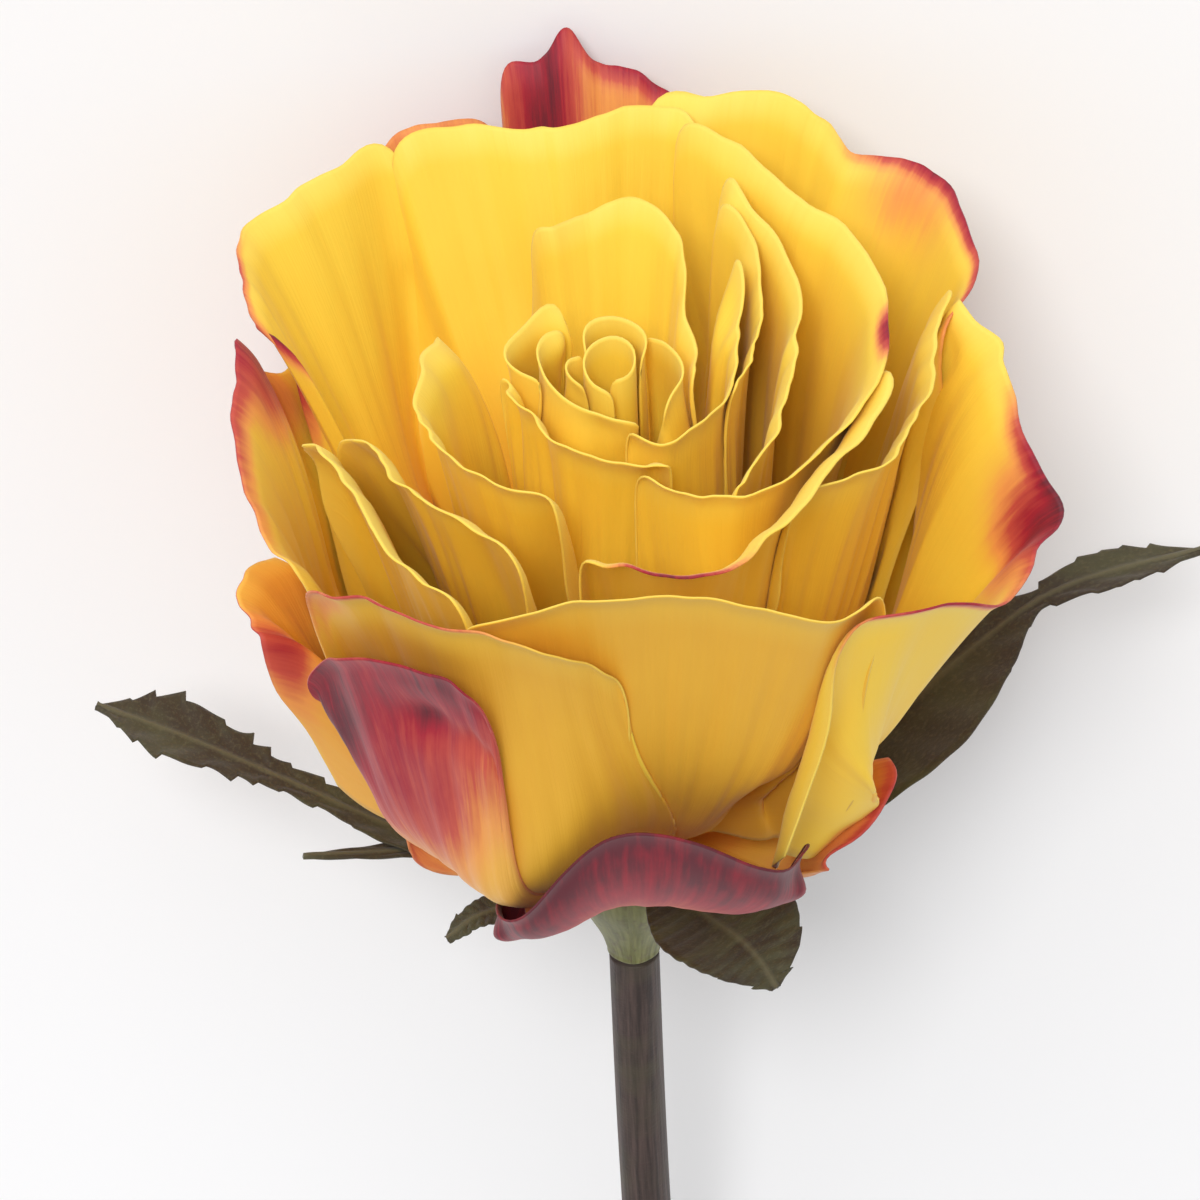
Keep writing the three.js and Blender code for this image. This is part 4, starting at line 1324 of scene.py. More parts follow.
@dataclass(frozen=True)
class PetalFinish:
    """The satin skin of a petal: gold, with painted shade that deepens it low in the throat and on the lower
    back, a paler rim that is painted light, and a flush of red where it is set.

    Args:
        name: The material's name.
        painted_throat_shade: The colour low down the petal's inner face, orange-red: painted shade for the
            shaded gaps between the petals.
        deep: The colour between painted_throat_shade and body and low down the outer face, painted shade
            there; also the colour that the cloud and veins tint towards.
        body: The main colour of the inner face.
        rim: The inner face's colour at its rim, paler than the body: painted light passing through the thin
            rim.
        back: The main colour of the outer face.
        back_rim_painted_glow: The outer face's colour at its rim, paler: painted light passing through the
            thin rim.
        orange: The faintest flush.
        coral: A light flush.
        crimson: A strong flush.
        maroon: The darkest flush.
        veins: The fine lengthwise veins.
        cloud: The slow change of colour over the petal.
        blotch: The unevenness of the flush.
        fine: The finest relief.
        cloud_tint: How the cloud deepens the colour.
        vein_tint: How the veins deepen it.
        flush_tint: How the flush takes over from it.
        unevenness: How far veins and blotches change the flush.
        roughness: How dull the skin is.
    """

    name: str
    # Painted shade: throat and deep darken the petal low down, where the gaps between petals lie in shade.
    painted_throat_shade: Colour = (0.88, 0.30, 0.035)
    deep: Colour = (0.95, 0.56, 0.045)
    body: Colour = (0.95, 0.67, 0.065)
    # Painted light: both rim colours are paler, for light shining through the thin edge.
    rim: Colour = (0.94, 0.70, 0.12)
    back: Colour = (0.95, 0.63, 0.055)
    back_rim_painted_glow: Colour = (0.94, 0.68, 0.10)
    orange: Colour = (0.88, 0.36, 0.09)
    coral: Colour = (0.58, 0.09, 0.06)
    crimson: Colour = (0.38, 0.018, 0.036)
    maroon: Colour = (0.13, 0.018, 0.03)
    veins: Pattern = Pattern((1.2, 0.09, 1.0), 3.0, 0.55)
    cloud: Pattern = Pattern((0.09, 0.09, 0.09))
    blotch: Pattern = Pattern((0.22, 0.12, 1.0), 4.0, 0.6)
    fine: Pattern = Pattern((3.2, 0.12, 1.0), 2.0, 0.6)
    cloud_tint: Tint = Tint(0.35, 0.65, 0.2)
    vein_tint: Tint = Tint(0.45, 0.75, 0.12)
    flush_tint: Tint = Tint(0.0, 0.22)
    unevenness: float = 0.5
    roughness: float = 0.55

    def build(self) -> bpy.types.Material:
        """Makes the material.

        Returns:
            The new material.
        """
        nodes = Nodes(self.name)
        grain, along = nodes.vector("grain"), nodes.value("along")
        veins, blotch = nodes.noise(grain, self.veins), nodes.noise(grain, self.blotch)
        # Painted shade on the inner face's lower part, orange-red in the throat; painted light, paler, at the
        # rim.
        inner = nodes.ramp(along, {
            0.0: self.painted_throat_shade, 0.26: self.painted_throat_shade, 0.48: self.deep,
            0.7: self.body, 0.95: self.body, 1.0: self.rim})
        # Painted shade low down the outer face; painted light, paler, at the rim.
        outer = nodes.ramp(along, {0.0: self.deep, 0.45: self.back, 0.9: self.back, 1.0: self.back_rim_painted_glow})
        shade = nodes.mix(nodes.value("outer"), inner, outer)
        shade = nodes.tinted(shade, nodes.noise(grain, self.cloud), self.cloud_tint, self.deep)
        shade = nodes.tinted(shade, veins, self.vein_tint, self.deep)
        streaks, patches = (nodes.math("SUBTRACT", number, 0.5) for number in (veins, blotch))
        uneven = nodes.math("MULTIPLY", nodes.math("ADD", streaks, patches), self.unevenness)
        flush = nodes.math("MULTIPLY", nodes.value("flush"), nodes.math("ADD", uneven, 1.0))
        red = nodes.ramp(flush, {
            0.0: self.body, 0.28: self.orange, 0.5: self.coral, 0.74: self.crimson, 1.0: self.maroon})
        colour = nodes.tinted(shade, flush, self.flush_tint, red)
        nodes.set(Base_Color=colour, Roughness=self.roughness, Sheen_Weight=0.1, Sheen_Roughness=0.4,
                  Specular_IOR_Level=0.3)
        relief = nodes.blend(veins, nodes.noise(grain, self.fine), share=0.7)
        nodes.bump(relief, strength=0.3, distance=0.0002)
        return nodes.material


@dataclass(frozen=True)
class LeafFinish:
    """The dull dark skin of a sepal, with a paler midrib.

    Args:
        name: The material's name.
        dark: Its main colour.
        green: Where it is greener.
        rib: The midrib's colour, and the specks'.
        cloud: Where the green shows.
        speck: The small specks.
        cloud_tint: How the green shows.
        speck_tint: How the specks show.
        rib_tint: How the midrib shows.
    """

    name: str
    dark: Colour = (0.040, 0.027, 0.015)
    green: Colour = (0.062, 0.056, 0.024)
    rib: Colour = (0.13, 0.115, 0.06)
    cloud: Pattern = Pattern((0.16, 0.16, 0.16), 3.0)
    speck: Pattern = Pattern((2.2, 2.2, 2.2), 3.0, 0.6)
    cloud_tint: Tint = Tint(0.4, 0.62)
    speck_tint: Tint = Tint(0.5, 0.7, 0.4)
    rib_tint: Tint = Tint(0.3, 1.0, 0.75)

    def build(self) -> bpy.types.Material:
        """Makes the material.

        Returns:
            The new material.
        """
        nodes = Nodes(self.name)
        grain, rib = nodes.vector("grain"), nodes.value("rib")
        speck = nodes.noise(grain, self.speck)
        colour = nodes.tinted(self.dark, nodes.noise(grain, self.cloud), self.cloud_tint, self.green)
        colour = nodes.tinted(colour, speck, self.speck_tint, self.rib)
        colour = nodes.tinted(colour, rib, self.rib_tint, self.rib)
        nodes.set(Base_Color=colour, Roughness=0.62, Sheen_Weight=0.15, Sheen_Roughness=0.5,
                  Specular_IOR_Level=0.35)
        nodes.bump(nodes.blend(speck, rib, share=0.4), strength=0.5, distance=0.0003)
        return nodes.material


@dataclass(frozen=True)
class HipFinish:
    """The satin olive skin of the hip.

    Args:
        name: The material's name.
        olive: Its main colour.
        pale: Its paler streaks.
        brown: Its spots.
        streak: The lengthwise streaks.
        spot: The spots.
        streak_tint: How the streaks show.
        spot_tint: How the spots show.
    """

    name: str
    olive: Colour = (0.12, 0.12, 0.035)
    pale: Colour = (0.22, 0.22, 0.075)
    brown: Colour = (0.09, 0.06, 0.03)
    streak: Pattern = Pattern((1.1, 0.165, 1.1), 3.0)
    spot: Pattern = Pattern((0.5, 0.5, 0.5), 3.0, 0.6)
    streak_tint: Tint = Tint(0.35, 0.65)
    spot_tint: Tint = Tint(0.52, 0.7, 0.7)

    def build(self) -> bpy.types.Material:
        """Makes the material.

        Returns:
            The new material.
        """
        nodes = Nodes(self.name)
        grain = nodes.vector("grain")
        spot = nodes.noise(grain, self.spot)
        colour = nodes.tinted(self.olive, nodes.noise(grain, self.streak), self.streak_tint, self.pale)
        colour = nodes.tinted(colour, spot, self.spot_tint, self.brown)
        nodes.set(Base_Color=colour, Roughness=0.45, Specular_IOR_Level=0.4, Subsurface_Weight=0.1,
                  Subsurface_Scale=0.001)
        nodes.bump(spot, strength=0.4, distance=0.0002)
        return nodes.material


@dataclass(frozen=True)
class RindFinish:
    """The stem's dark rind, with lengthwise streaks, and pale pith at the cut.

    Args:
        name: The material's name.
        dark: Its main colour.
        light: Its streaks and specks.
        olive: Where it is greener.
        pith: The colour inside the cut.
        thorn: The prickles' colour.
        streak: The lengthwise streaks.
        cloud: Where the olive shows.
        speck: The small specks.
        streak_tint: How the streaks show.
        cloud_tint: How the olive shows.
        speck_tint: How the specks show.
    """

    name: str
    dark: Colour = (0.030, 0.018, 0.015)
    light: Colour = (0.085, 0.053, 0.045)
    olive: Colour = (0.07, 0.058, 0.032)
    pith: Colour = (0.42, 0.46, 0.22)
    thorn: Colour = (0.30, 0.12, 0.07)
    streak: Pattern = Pattern((1.6, 0.06, 1.0), 4.0, 0.6)
    cloud: Pattern = Pattern((0.12, 0.12, 0.12))
    speck: Pattern = Pattern((1.8, 1.8, 1.8), 3.0, 0.6)
    streak_tint: Tint = Tint(0.38, 0.64)
    cloud_tint: Tint = Tint(0.48, 0.66, 0.55)
    speck_tint: Tint = Tint(0.6, 0.72, 0.5)

    def build(self) -> bpy.types.Material:
        """Makes the material.

        Returns:
            The new material.
        """
        nodes = Nodes(self.name)
        grain = nodes.vector("grain")
        streak, speck = nodes.noise(grain, self.streak), nodes.noise(grain, self.speck)
        colour = nodes.tinted(self.dark, streak, self.streak_tint, self.light)
        colour = nodes.tinted(colour, nodes.noise(grain, self.cloud), self.cloud_tint, self.olive)
        colour = nodes.tinted(colour, speck, self.speck_tint, self.light)
        colour = nodes.mix(nodes.value("thorn"), colour, self.thorn)
        colour = nodes.mix(nodes.value("pith"), colour, self.pith)
        nodes.set(Base_Color=colour, Roughness=0.5, Specular_IOR_Level=0.4)
        nodes.bump(nodes.blend(streak, speck, share=0.7), strength=0.5, distance=0.0003)
        return nodes.material


@dataclass(frozen=True)
class FloorFinish:
    """A plain pale floor with the faintest mottle.

    Args:
        name: The material's name.
        pale: Its main colour.
        deeper: The colour of its mottle.
        mottle: The mottle, in grains to a metre.
    """

    name: str
    pale: Colour = (0.93, 0.93, 0.94)
    deeper: Colour = (0.9, 0.9, 0.912)
    mottle: Pattern = Pattern((9.0, 9.0, 9.0))

    def build(self) -> bpy.types.Material:
        """Makes the material.

        Returns:
            The new material.
        """
        nodes = Nodes(self.name)
        place = nodes.add("ShaderNodeNewGeometry").outputs["Position"]
        colour = nodes.mix(nodes.noise(place, self.mottle), self.pale, self.deeper)
        nodes.set(Base_Color=colour, Roughness=0.85, Specular_IOR_Level=0.1)
        return nodes.material


@dataclass
class Bloom:
    """Every petal, from the heart outwards.

    Args:
        golden: The finish of most petals.
        front: The finish of the outer petals at the front, whose backs are deeper: painted shade on faces
            turned from the light.
        guard: The finish of the guard petals.
    """

    golden: PetalFinish = PetalFinish("golden_petal")
    # Painted shade: a darker copy of the golden finish on the backs of the front petals.
    front: PetalFinish = PetalFinish("shaded_front_petal", back=(0.82, 0.43, 0.034), back_rim_painted_glow=(0.86, 0.53, 0.06))
    guard: PetalFinish = PetalFinish(
        "guard_petal", body=(0.90, 0.50, 0.08), back=(0.90, 0.46, 0.07), back_rim_painted_glow=(0.90, 0.50, 0.09))

    def build(self) -> list[bpy.types.Object]:
        """Makes the petals.

        Returns:
            The petals' objects, from the heart outwards.
        """
        golden, front, guard = self.golden.build(), self.front.build(), self.guard.build()
        skins = {"guard": guard, "outer_front": front}
        petals = []
        for order, plan in enumerate(PETALS):
            skin = next((skins[word] for word in skins if word in plan.name), golden)
            petals.append(Petal(plan, order, skin))
        crowd = Crowd(petals)
        return [petal.build(crowd) for petal in petals]


def tube_skin(grid: Array) -> Skin:
    """A closed skin round rings of points.

    Args:
        grid: The rings, with a ring of points to a row.

    Returns:
        The skin, with a fan to a middle point at either end.
    """
    rings, sides = grid.shape[:2]
    index = np.arange(rings * sides).reshape(rings, sides)
    index = np.hstack([index, index[:, :1]])
    start, end = rings * sides, rings * sides + 1
    fans = [(start, b, a) for a, b in zip(index[0].tolist(), index[0, 1:].tolist())]
    fans += [(end, a, b) for a, b in zip(index[-1].tolist(), index[-1, 1:].tolist())]
    points = np.vstack([grid.reshape(-1, 3), grid[0].mean(0), grid[-1].mean(0)])
    return Skin(points, [tuple(quad) for quad in grid_quads(index).tolist()] + fans)


def capped(values: Array) -> Array:
    """A tube's values, a ring of them to a row, as a list with those of its two end points last."""
    return np.vstack([values.reshape(-1, 3), values[0, :1], values[-1, -1:]])


@dataclass
class Hip:
    """The swollen cup under the petals.

    Args:
        profile: Its outline as [radius, height] points, from the stem to the top of its cone.
        sides: Points round it.
        steps: Points along its outline.
        tip_radius: The least radius of the skin.
        rib_count: How many ribs run down it.
        rib_share: How far the ribs stand out, as a share of its radius.
        grain_step: Millimetres of grain to a degree round it.
    """

    profile: tuple[Pair, ...] = (
        (0.01, -16), (2.4, -16), (2.75, -15), (3.3, -13), (4.6, -10), (6, -7), (6.7, -4.2), (6.6, -1.6),
        (5.9, -0.3), (4.6, 1.2), (2.2, 6), (0.6, 9.6), (0.01, 9.9))
    sides: int = 72
    steps: int = 90
    tip_radius: float = 0.01
    rib_count: int = 5
    rib_share: float = 0.02
    grain_step: float = 0.11

    def build(self) -> bpy.types.Object:
        """Makes the hip, and hides the solid that it stands for.

        Returns:
            The hip's object.
        """
        line = smooth_curve(self.profile, np.linspace(0, 1, self.steps))
        turn = np.linspace(0, 360, self.sides, endpoint=False)
        swell = 1 + self.rib_share * np.cos(np.radians(turn * self.rib_count))[None]
        radius = np.maximum(line[:, :1], self.tip_radius) * swell
        skin = tube_skin(polar(turn[None], radius, line[:, 1:]))
        skin.values = {"grain": capped(stacked((turn * self.grain_step)[None], line[:, 1:], 0 * radius))}
        piece = skin.build("hip_cup", HipFinish("hip_skin").build())
        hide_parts("hip")
        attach(piece, BODY)
        return piece


@dataclass(frozen=True)
class SideLobe:
    """A slender lobe that leaves a sepal's edge.

    Args:
        at: Where along the sepal it leaves.
        side: 1 or -1, for which edge.
        length: Its length in millimetres.
        turn: Degrees that it turns away.
    """

    at: float
    side: int
    length: float
    turn: float


@dataclass
class Sepal:
    """One sepal: a cambered blade with a midrib, toothed edges and side lobes.

    Args:
        name: The CAD node's name.
        path: Its middle line as [azimuth, radius, height] points.
        width: Its half width, spread evenly along the path.
        teeth: Where its teeth start and how deep they are.
        lobes: Its side lobes.
        steps: Points along it.
        columns: Points across it.
        least_half_width: The least half width of its blade.
        camber: How far its edges rise, as a share of its half width.
        half_thickness: Half its thickness beside the midrib.
        edge: How its thickness falls towards its edges: the share it falls from, the power, and the least.
        rib_height: How much thicker it is at the midrib.
        rib_half_width: Half the midrib's width.
        vein_height: How high the side veins stand.
        vein_slant: Radians of the veins' wave from the midrib to the edge.
        vein_step: Radians of it from one row of points to the next.
        tooth_pitch: Millimetres from tooth to tooth.
        tooth_wander: How far the teeth stray from that, as a share of it.
        tooth_sway: Radians by which the straying turns in a millimetre.
        tooth_shift: The most radians by which it is shifted.
        tooth_sizes: The least and the greatest tooth, as shares of their depth.
        tooth_power: How sharply a tooth leans.
        tooth_start: Where the teeth start and are full, from the start in teeth.
        tooth_end: The share of the tip that has fewer and fewer teeth.
        notch: How far the edge steps in between teeth, as a share of their depth.
        grain_step: Millimetres of grain from one row of points to the next.
        lobe_steps: Points along a side lobe.
        lobe_look: How far ahead along the sepal its direction is read, as a share of its length.
        lobe_root: A side lobe's half width where it leaves.
        lobe_tip: Its half width at its tip.
        lobe_taper: How its width falls.
        lobe_inset: How far inside the blade's edge it starts, as a share of the half width.
        lobe_bend: How far it bends back along the sepal, as a share of its length.
        lobe_rib: How high its midrib is, as a share of the blade's.
    """

    name: str
    path: tuple[Point, ...]
    width: tuple[float, ...]
    teeth: Pair
    lobes: tuple[SideLobe, ...] = ()
    steps: int = 150
    columns: int = 17
    least_half_width: float = 0.2
    camber: float = 0.22
    half_thickness: float = 0.22
    edge: tuple[float, int, float] = (1.15, 6, 0.35)
    rib_height: float = 0.35
    rib_half_width: float = 0.45
    vein_height: float = 0.08
    vein_slant: float = 6.4
    vein_step: float = 0.56
    tooth_pitch: float = 3.1
    tooth_wander: float = 0.3
    tooth_sway: float = 0.45
    tooth_shift: float = 6.0
    tooth_sizes: Pair = (0.25, 1.3)
    tooth_power: float = 1.5
    tooth_start: Pair = (-0.08, 0.05)
    tooth_end: float = 0.08
    notch: float = 0.3
    grain_step: float = 0.35
    lobe_steps: int = 30
    lobe_look: float = 0.02
    lobe_root: float = 1.5
    lobe_tip: float = 0.25
    lobe_taper: float = 1.3
    lobe_inset: float = 0.3
    lobe_bend: float = 0.12
    lobe_rib: float = 0.4

    def line(self, shares: Array) -> Array:
        """Points of the sepal's middle line."""
        return polar(*smooth_curve(self.path, shares).T)

    def half_width(self, shares: Array) -> Array:
        """The blade's half width with no teeth."""
        return smooth_curve(np.array(self.width)[:, None], shares)[:, 0]

    def blade(self) -> Skin:
        """The blade, with its teeth.

        Returns:
            Its skin.
        """
        shares = np.linspace(0, 1, self.steps)
        here = self.line(shares)
        travelled = np.concatenate([[0], np.cumsum(np.linalg.norm(np.diff(here, axis=0), axis=1))])
        start, depth = self.teeth
        draw = np.random.default_rng(SEED + len(self.name))
        sway = np.sin(travelled * self.tooth_sway + draw.uniform(0, self.tooth_shift))
        place = travelled / self.tooth_pitch + self.tooth_wander * sway
        size = draw.uniform(*self.tooth_sizes, int(place.max()) + 2)[place.astype(int)]
        tooth = depth * size * (1 - place % 1) ** self.tooth_power
        tooth *= smoothstep(shares, start + self.tooth_start[0], start + self.tooth_start[1])
        tooth *= smoothstep(1 - shares, 0.0, self.tooth_end)
        width = np.maximum(self.half_width(shares), self.least_half_width)
        width = width + tooth - depth * self.notch * (tooth > 0)
        return self.strip(here, width, self.rib_height)

    def strip(self, here: Array, width: Array, rib_height: float) -> Skin:
        """A cambered strip with a raised midrib.

        Args:
            here: Its middle line.
            width: Its half width at each point.
            rib_height: How much thicker it is at its midrib.

        Returns:
            The strip's skin.
        """
        forward = unit(np.gradient(here, axis=0))
        across = unit(np.cross(forward, (0.0, 0.0, 1.0)))
        up = np.cross(across, forward)[:, None]
        share = np.linspace(-1, 1, self.columns)[None]
        side = share * width[:, None]
        row = np.arange(len(here))[:, None]
        ridge = np.exp(-((side / self.rib_half_width) ** 2))
        veins = self.vein_height * np.cos(self.vein_slant * np.abs(share) - self.vein_step * row)
        rise = self.camber * share**2 * width[:, None] + veins * (1 - ridge)
        grid = here[:, None] + side[..., None] * across[:, None] + rise[..., None] * up
        full, power, least = self.edge
        half = self.half_thickness + rib_height / 2 * ridge
        half = half * np.clip(full - np.abs(share) ** power, least, 1)
        grain = stacked(side, self.grain_step * row, len(self.name))
        return sheet(grid, half, {"grain": grain, "rib": ridge})

    def lobe(self, lobe: SideLobe) -> Skin:
        """A side lobe's skin.

        Args:
            lobe: Where it leaves, which way, and how long it is.

        Returns:
            Its skin.
        """
        root, ahead = self.line(np.array([lobe.at, lobe.at + self.lobe_look]))
        forward = unit(ahead - root)
        heading = np.array(Matrix.Rotation(-lobe.side * math.radians(lobe.turn), 3, "Z")) @ forward
        width = self.half_width(np.array([lobe.at]))[0]
        start = root + unit(np.cross(forward, (0.0, 0.0, 1.0))) * lobe.side * width * self.lobe_inset
        share = np.linspace(0, 1, self.lobe_steps)
        bend = share[:, None] ** 2 * lobe.length * self.lobe_bend * forward
        here = start + share[:, None] * lobe.length * heading + bend
        half = self.lobe_root + (self.lobe_tip - self.lobe_root) * share**self.lobe_taper
        return self.strip(here, half, self.rib_height * self.lobe_rib)

    def build(self, material: bpy.types.Material) -> bpy.types.Object:
        """Makes the sepal, and hides the solid that it stands for.

        Args:
            material: What it is dressed in.

        Returns:
            The sepal's object.
        """
        skin = self.blade()
        for lobe in self.lobes:
            skin = skin.joined(self.lobe(lobe))
        piece = skin.build(self.name + "_blade", material)
        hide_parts(self.name)
        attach(piece, BODY)
        return piece


SEPALS = (
    Sepal(
        "sepal_left",
        ((-95, 7.3, -2.6), (-95, 15, -3), (-96, 24, -0.8), (-98, 34, 3.5), (-100, 44, 7), (-101, 54, 10)),
        (2.6, 4.2, 3.8, 3, 1.9, 2.9, 4.4, 0.5), (0.55, 1.1),
        (SideLobe(0.3, -1, 13, 30), SideLobe(0.36, 1, 9, 28)),
    ),
    Sepal(
        "sepal_front_left",
        ((-50, 7.3, -2.8), (-52, 12, -2.4), (-54, 16, -1.6), (-56, 19, -1.6), (-57, 22, -3)),
        (2.4, 2.6, 2.2, 1.7, 0.5), (0.6, 0.3),
    ),
    Sepal(
        "sepal_front_right",
        ((30, 7.3, -2.8), (33, 12, -2.4), (35, 17, -2), (36, 20.5, -2.8), (36, 23.4, -4.6)),
        (2.8, 5.6, 7.4, 7, 4.6, 0.6), (0.6, 0.5),
    ),
    Sepal(
        "sepal_right",
        ((108, 7.3, -2.6), (108, 16, -2.2), (110, 27, 4), (112, 38, 10), (113, 48, 13.5), (111, 63, 15)),
        (2.8, 6, 8.6, 10.4, 10.2, 6.2, 1.6, 3, 0.5), (0.7, 0.7),
    ),
    Sepal(
        "sepal_back",
        ((183, 7.3, -2.6), (183, 15, -3.4), (182, 24, -2.4), (181, 31, 0.5)),
        (2.6, 5, 5, 3.2, 0.5), (0.6, 0.6), (SideLobe(0.45, 1, 9, 32), SideLobe(0.5, -1, 8, 32)),
    ),
)


@dataclass
class Stem:
    """The stem: a round rind along a gentle bend, with leaf scars, prickles and a slanted cut.

    Args:
        path: Its middle line.
        length: How long it is.
        radius: Its radius.
        sides: Points round it.
        steps: Points along it.
        flutes: How many flutes run down it, how deep as a share of its radius, and radians round it.
        cut_start: Where along it the slant of the cut starts.
        cut_slope: How steep the cut is.
        scars: Where along it the leaf scars are.
        scar_swell: How far the stem swells at a scar.
        scar_length: Half the swelling's length, as a share of the stem's.
        ring_swell: How far the narrow ring in a swelling stands out.
        ring_share: The ring's length, as a share of the swelling's.
        prickles: Where along and round it each prickle grows.
        prickle_half_width: Half a prickle's width at its root.
        prickle_half_height: Half its height there.
        prickle_length: How far it stands out.
        prickle_sink: How deep its root is sunk.
        prickle_droop: How far its tip droops.
        prickle_grid: Rings along it and points round it.
        prickle_taper: How its size falls.
        prickle_bend: How its droop grows.
        prickle_tip: Its size at its tip, as a share of its root's.
        prickle_tint: How far it is coloured as a thorn.
    """

    path: tuple[Point, ...] = (
        (0, 0, -16.4), (0.2, 0.2, -40), (0.9, 0.8, -80), (1.1, 1.6, -125), (0.4, 2.6, -168))
    length: float = 152.0
    radius: float = 2.55
    sides: int = 48
    steps: int = 300
    flutes: tuple[Point, ...] = ((5, 0.012, 0), (11, 0.006, 1))
    cut_start: float = 0.97
    cut_slope: float = 0.7
    scars: tuple[float, ...] = (0.44, 0.82)
    scar_swell: float = 0.45
    scar_length: float = 0.02
    ring_swell: float = 0.12
    ring_share: float = 0.16
    prickles: tuple[Pair, ...] = ((0.36, -70), (0.55, 62), (0.69, -38), (0.9, 96))
    prickle_half_width: float = 0.75
    prickle_half_height: float = 2.0
    prickle_length: float = 3.4
    prickle_sink: float = 0.9
    prickle_droop: float = 2.0
    prickle_grid: tuple[int, int] = (14, 16)
    prickle_taper: float = 1.4
    prickle_bend: float = 1.6
    prickle_tip: float = 0.02
    prickle_tint: float = 0.8

    def line(self, shares: Array) -> Array:
        """Points of the stem's middle line."""
        return smooth_curve(self.path, shares)

    def swelling(self, shares: Array, length: float) -> Array:
        """How near each place is to a leaf scar, from 0 to 1 within a length."""
        return sum(np.exp(-(((shares - scar) / length) ** 2)) for scar in self.scars)

    def rind(self) -> Skin:
        """The stem itself, swollen at its leaf scars and cut at a slant.

        Returns:
            Its skin.
        """
        shares = np.linspace(0, 1, self.steps)
        turn = np.radians(np.linspace(0, 360, self.sides, endpoint=False))
        swell = self.scar_swell * self.swelling(shares, self.scar_length)
        ring = self.ring_swell * self.swelling(shares, self.scar_length * self.ring_share)
        fluted = 1 + sum(depth * np.cos(count * turn + start) for count, depth, start in self.flutes)
        radius = (self.radius + swell + ring)[:, None] * fluted
        grid = self.line(shares)[:, None] + radius[..., None] * stacked(np.cos(turn), np.sin(turn), 0.0)
        end = smoothstep(shares, self.cut_start, 1.0)[:, None]
        grid[..., 2] += end * self.cut_slope * radius * np.cos(turn)
        skin = tube_skin(grid)
        grain = stacked(turn * self.radius, (shares * self.length)[:, None], 0.0)
        pith, thorn = np.zeros((2, len(skin.points)))
        pith[-1] = 1
        skin.values = {"grain": capped(grain), "pith": pith, "thorn": thorn}
        return skin

    def prickle(self, share: float, azimuth: float) -> Skin:
        """One prickle: a flattened thorn that droops away from the bloom.

        Args:
            share: Where along the stem it grows.
            azimuth: Degrees round the stem.

        Returns:
            Its skin.
        """
        root = self.line(np.array([share]))[0]
        outwards = polar(azimuth, 1.0, 0.0)
        across = np.cross(outwards, (0.0, 0.0, 1.0))
        rings, sides = self.prickle_grid
        turn = np.radians(np.linspace(0, 360, sides, endpoint=False))[None, :, None]
        far = np.linspace(0, 1, rings)[:, None, None]
        size = (1 - far) ** self.prickle_taper + self.prickle_tip
        reach = self.radius - self.prickle_sink + far * (self.prickle_length + self.prickle_sink)
        middle = root + outwards * reach - (0, 0, 1) * (self.prickle_droop * far**self.prickle_bend)
        side = np.cos(turn) * across * self.prickle_half_width * size
        skin = tube_skin(middle + side + np.sin(turn) * (0, 0, self.prickle_half_height) * size)
        pith, thorn = np.zeros((2, len(skin.points)))
        skin.values = {"grain": skin.points.copy(), "pith": pith, "thorn": thorn + self.prickle_tint}
        return skin

    def build(self) -> bpy.types.Object:
        """Makes the stem with its prickles, and hides the solid that it stands for.

        Returns:
            The stem's object.
        """
        skin = self.rind()
        for share, azimuth in self.prickles:
            skin = skin.joined(self.prickle(share, azimuth))
        piece = skin.build("stem_rind", RindFinish("stem_rind").build())
        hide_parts("stem")
        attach(piece, BODY)
        return piece


@dataclass(frozen=True)
class Sun:
    """One far light.

    Args:
        name: Its name.
        strength: How strong it is.
        spread: Degrees across which it shines.
        heading: Where it stands from the upright flower.
    """

    name: str
    strength: float
    spread: float
    heading: Point

    def build(self) -> None:
        """Hangs the light."""
        data = bpy.data.lights.new(self.name, "SUN")
        data.energy = self.strength
        data.angle = math.radians(self.spread)
        light = bpy.data.objects.new(self.name, data)
        light.rotation_euler = LyingPose.heading(self.heading).to_track_quat("Z", "Y").to_euler()
        bpy.context.scene.collection.objects.link(light)


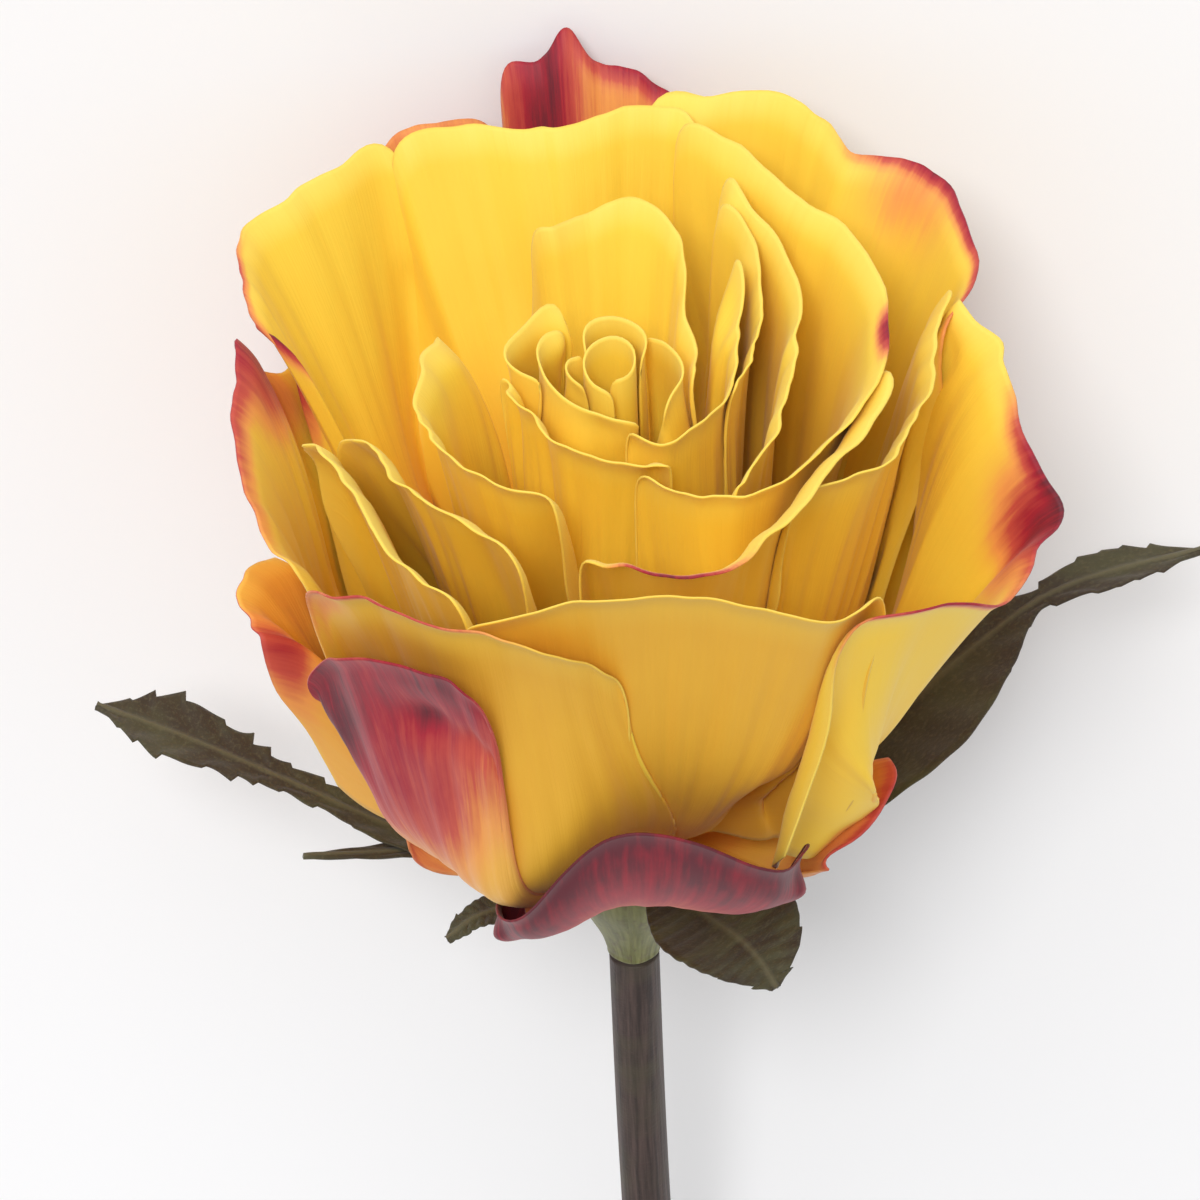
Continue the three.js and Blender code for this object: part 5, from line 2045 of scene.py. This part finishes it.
@dataclass
class Studio:
    """The floor, the soft lights and the camera.

    Args:
        floor_size: Metres across the floor.
        camera_rise: Degrees that the camera stands above the upright bloom's base plane.
        camera_roll: Degrees that the camera is rolled.
        camera_distance: Millimetres from the petals' base to the camera.
        view_width: Millimetres that the picture shows across at the petals' base.
        view_shift: Millimetres right and up from the petals' base to the middle of the picture.
        sensor_width: The camera's sensor width in millimetres.
        clip_start: Metres from the camera at which its sight starts.
        world_strength: How bright the surroundings are.
        suns: A soft key over the bloom, and a fill beside the camera.
    """

    floor_size: float = 6.0
    camera_rise: float = 40.0
    camera_roll: float = 2.0
    camera_distance: float = 700.0
    view_width: float = 120.0
    view_shift: Pair = (-3.0, 23.0)
    sensor_width: float = 36.0
    clip_start: float = 0.05
    world_strength: float = 0.64
    suns: tuple[Sun, ...] = (
        Sun("key", 0.75, 55.0, (-0.22, -0.3, 0.93)),
        Sun("fill", 1.25, 18.0, (-0.14, -0.7, 0.7)),
    )

    def floor(self) -> None:
        """Lays the floor."""
        half = self.floor_size / 2
        mesh = bpy.data.meshes.new("floor")
        corners = [(-half, -half, 0), (half, -half, 0), (half, half, 0), (-half, half, 0)]
        mesh.from_pydata(corners, [], [(0, 1, 2, 3)])
        floor = bpy.data.objects.new("floor", mesh)
        mesh.materials.append(FloorFinish("floor_paper").build())
        bpy.context.scene.collection.objects.link(floor)

    def camera(self) -> None:
        """Sets the camera where the photograph was taken from, relative to the bloom."""
        rise, roll = math.radians(self.camera_rise), math.radians(self.camera_roll)
        back = np.array([0, -math.cos(rise), math.sin(rise)])
        level, upright = np.array([1.0, 0, 0]), np.array([0, math.sin(rise), math.cos(rise)])
        right = math.cos(roll) * level - math.sin(roll) * upright
        up = math.sin(roll) * level + math.cos(roll) * upright
        place = self.view_shift[0] * right + self.view_shift[1] * up + self.camera_distance * back
        axes = LyingPose.turn() @ np.stack([right, up, back], axis=1)
        pose = Matrix(axes.tolist()).to_4x4()
        pose.translation = Vector(LyingPose.place(place[None])[0])
        data = bpy.data.cameras.new("camera")
        data.sensor_width = self.sensor_width
        data.lens = self.sensor_width * self.camera_distance / self.view_width
        data.clip_start = self.clip_start
        camera = bpy.data.objects.new("camera", data)
        camera.matrix_world = pose
        bpy.context.scene.collection.objects.link(camera)
        bpy.context.scene.camera = camera

    def lights(self) -> None:
        """Hangs the suns, sets the pale surroundings, and shows their colours as they are."""
        for sun in self.suns:
            sun.build()
        world = bpy.data.worlds.new("pale_room")
        world.use_nodes = True
        background = world.node_tree.nodes["Background"]
        background.inputs["Color"].default_value = (1.0, 1.0, 1.0, 1.0)
        background.inputs["Strength"].default_value = self.world_strength
        bpy.context.scene.world = world
        bpy.context.scene.view_settings.view_transform = "Standard"

    def build(self) -> None:
        """Makes the studio."""
        self.floor()
        self.camera()
        self.lights()


def main() -> None:
    """Builds the flower and its studio, and reports each piece."""
    logging.basicConfig(level=logging.INFO, format="%(name)s: %(message)s")
    Studio().build()
    pieces = Bloom().build()
    pieces.append(Hip().build())
    leaf = LeafFinish("sepal_leaf").build()
    pieces.extend(sepal.build(leaf) for sepal in SEPALS)
    pieces.append(Stem().build())
    for piece in pieces:
        log.info("%s: %d faces", piece.name, len(piece.data.polygons))


if __name__ == "__main__":
    main()
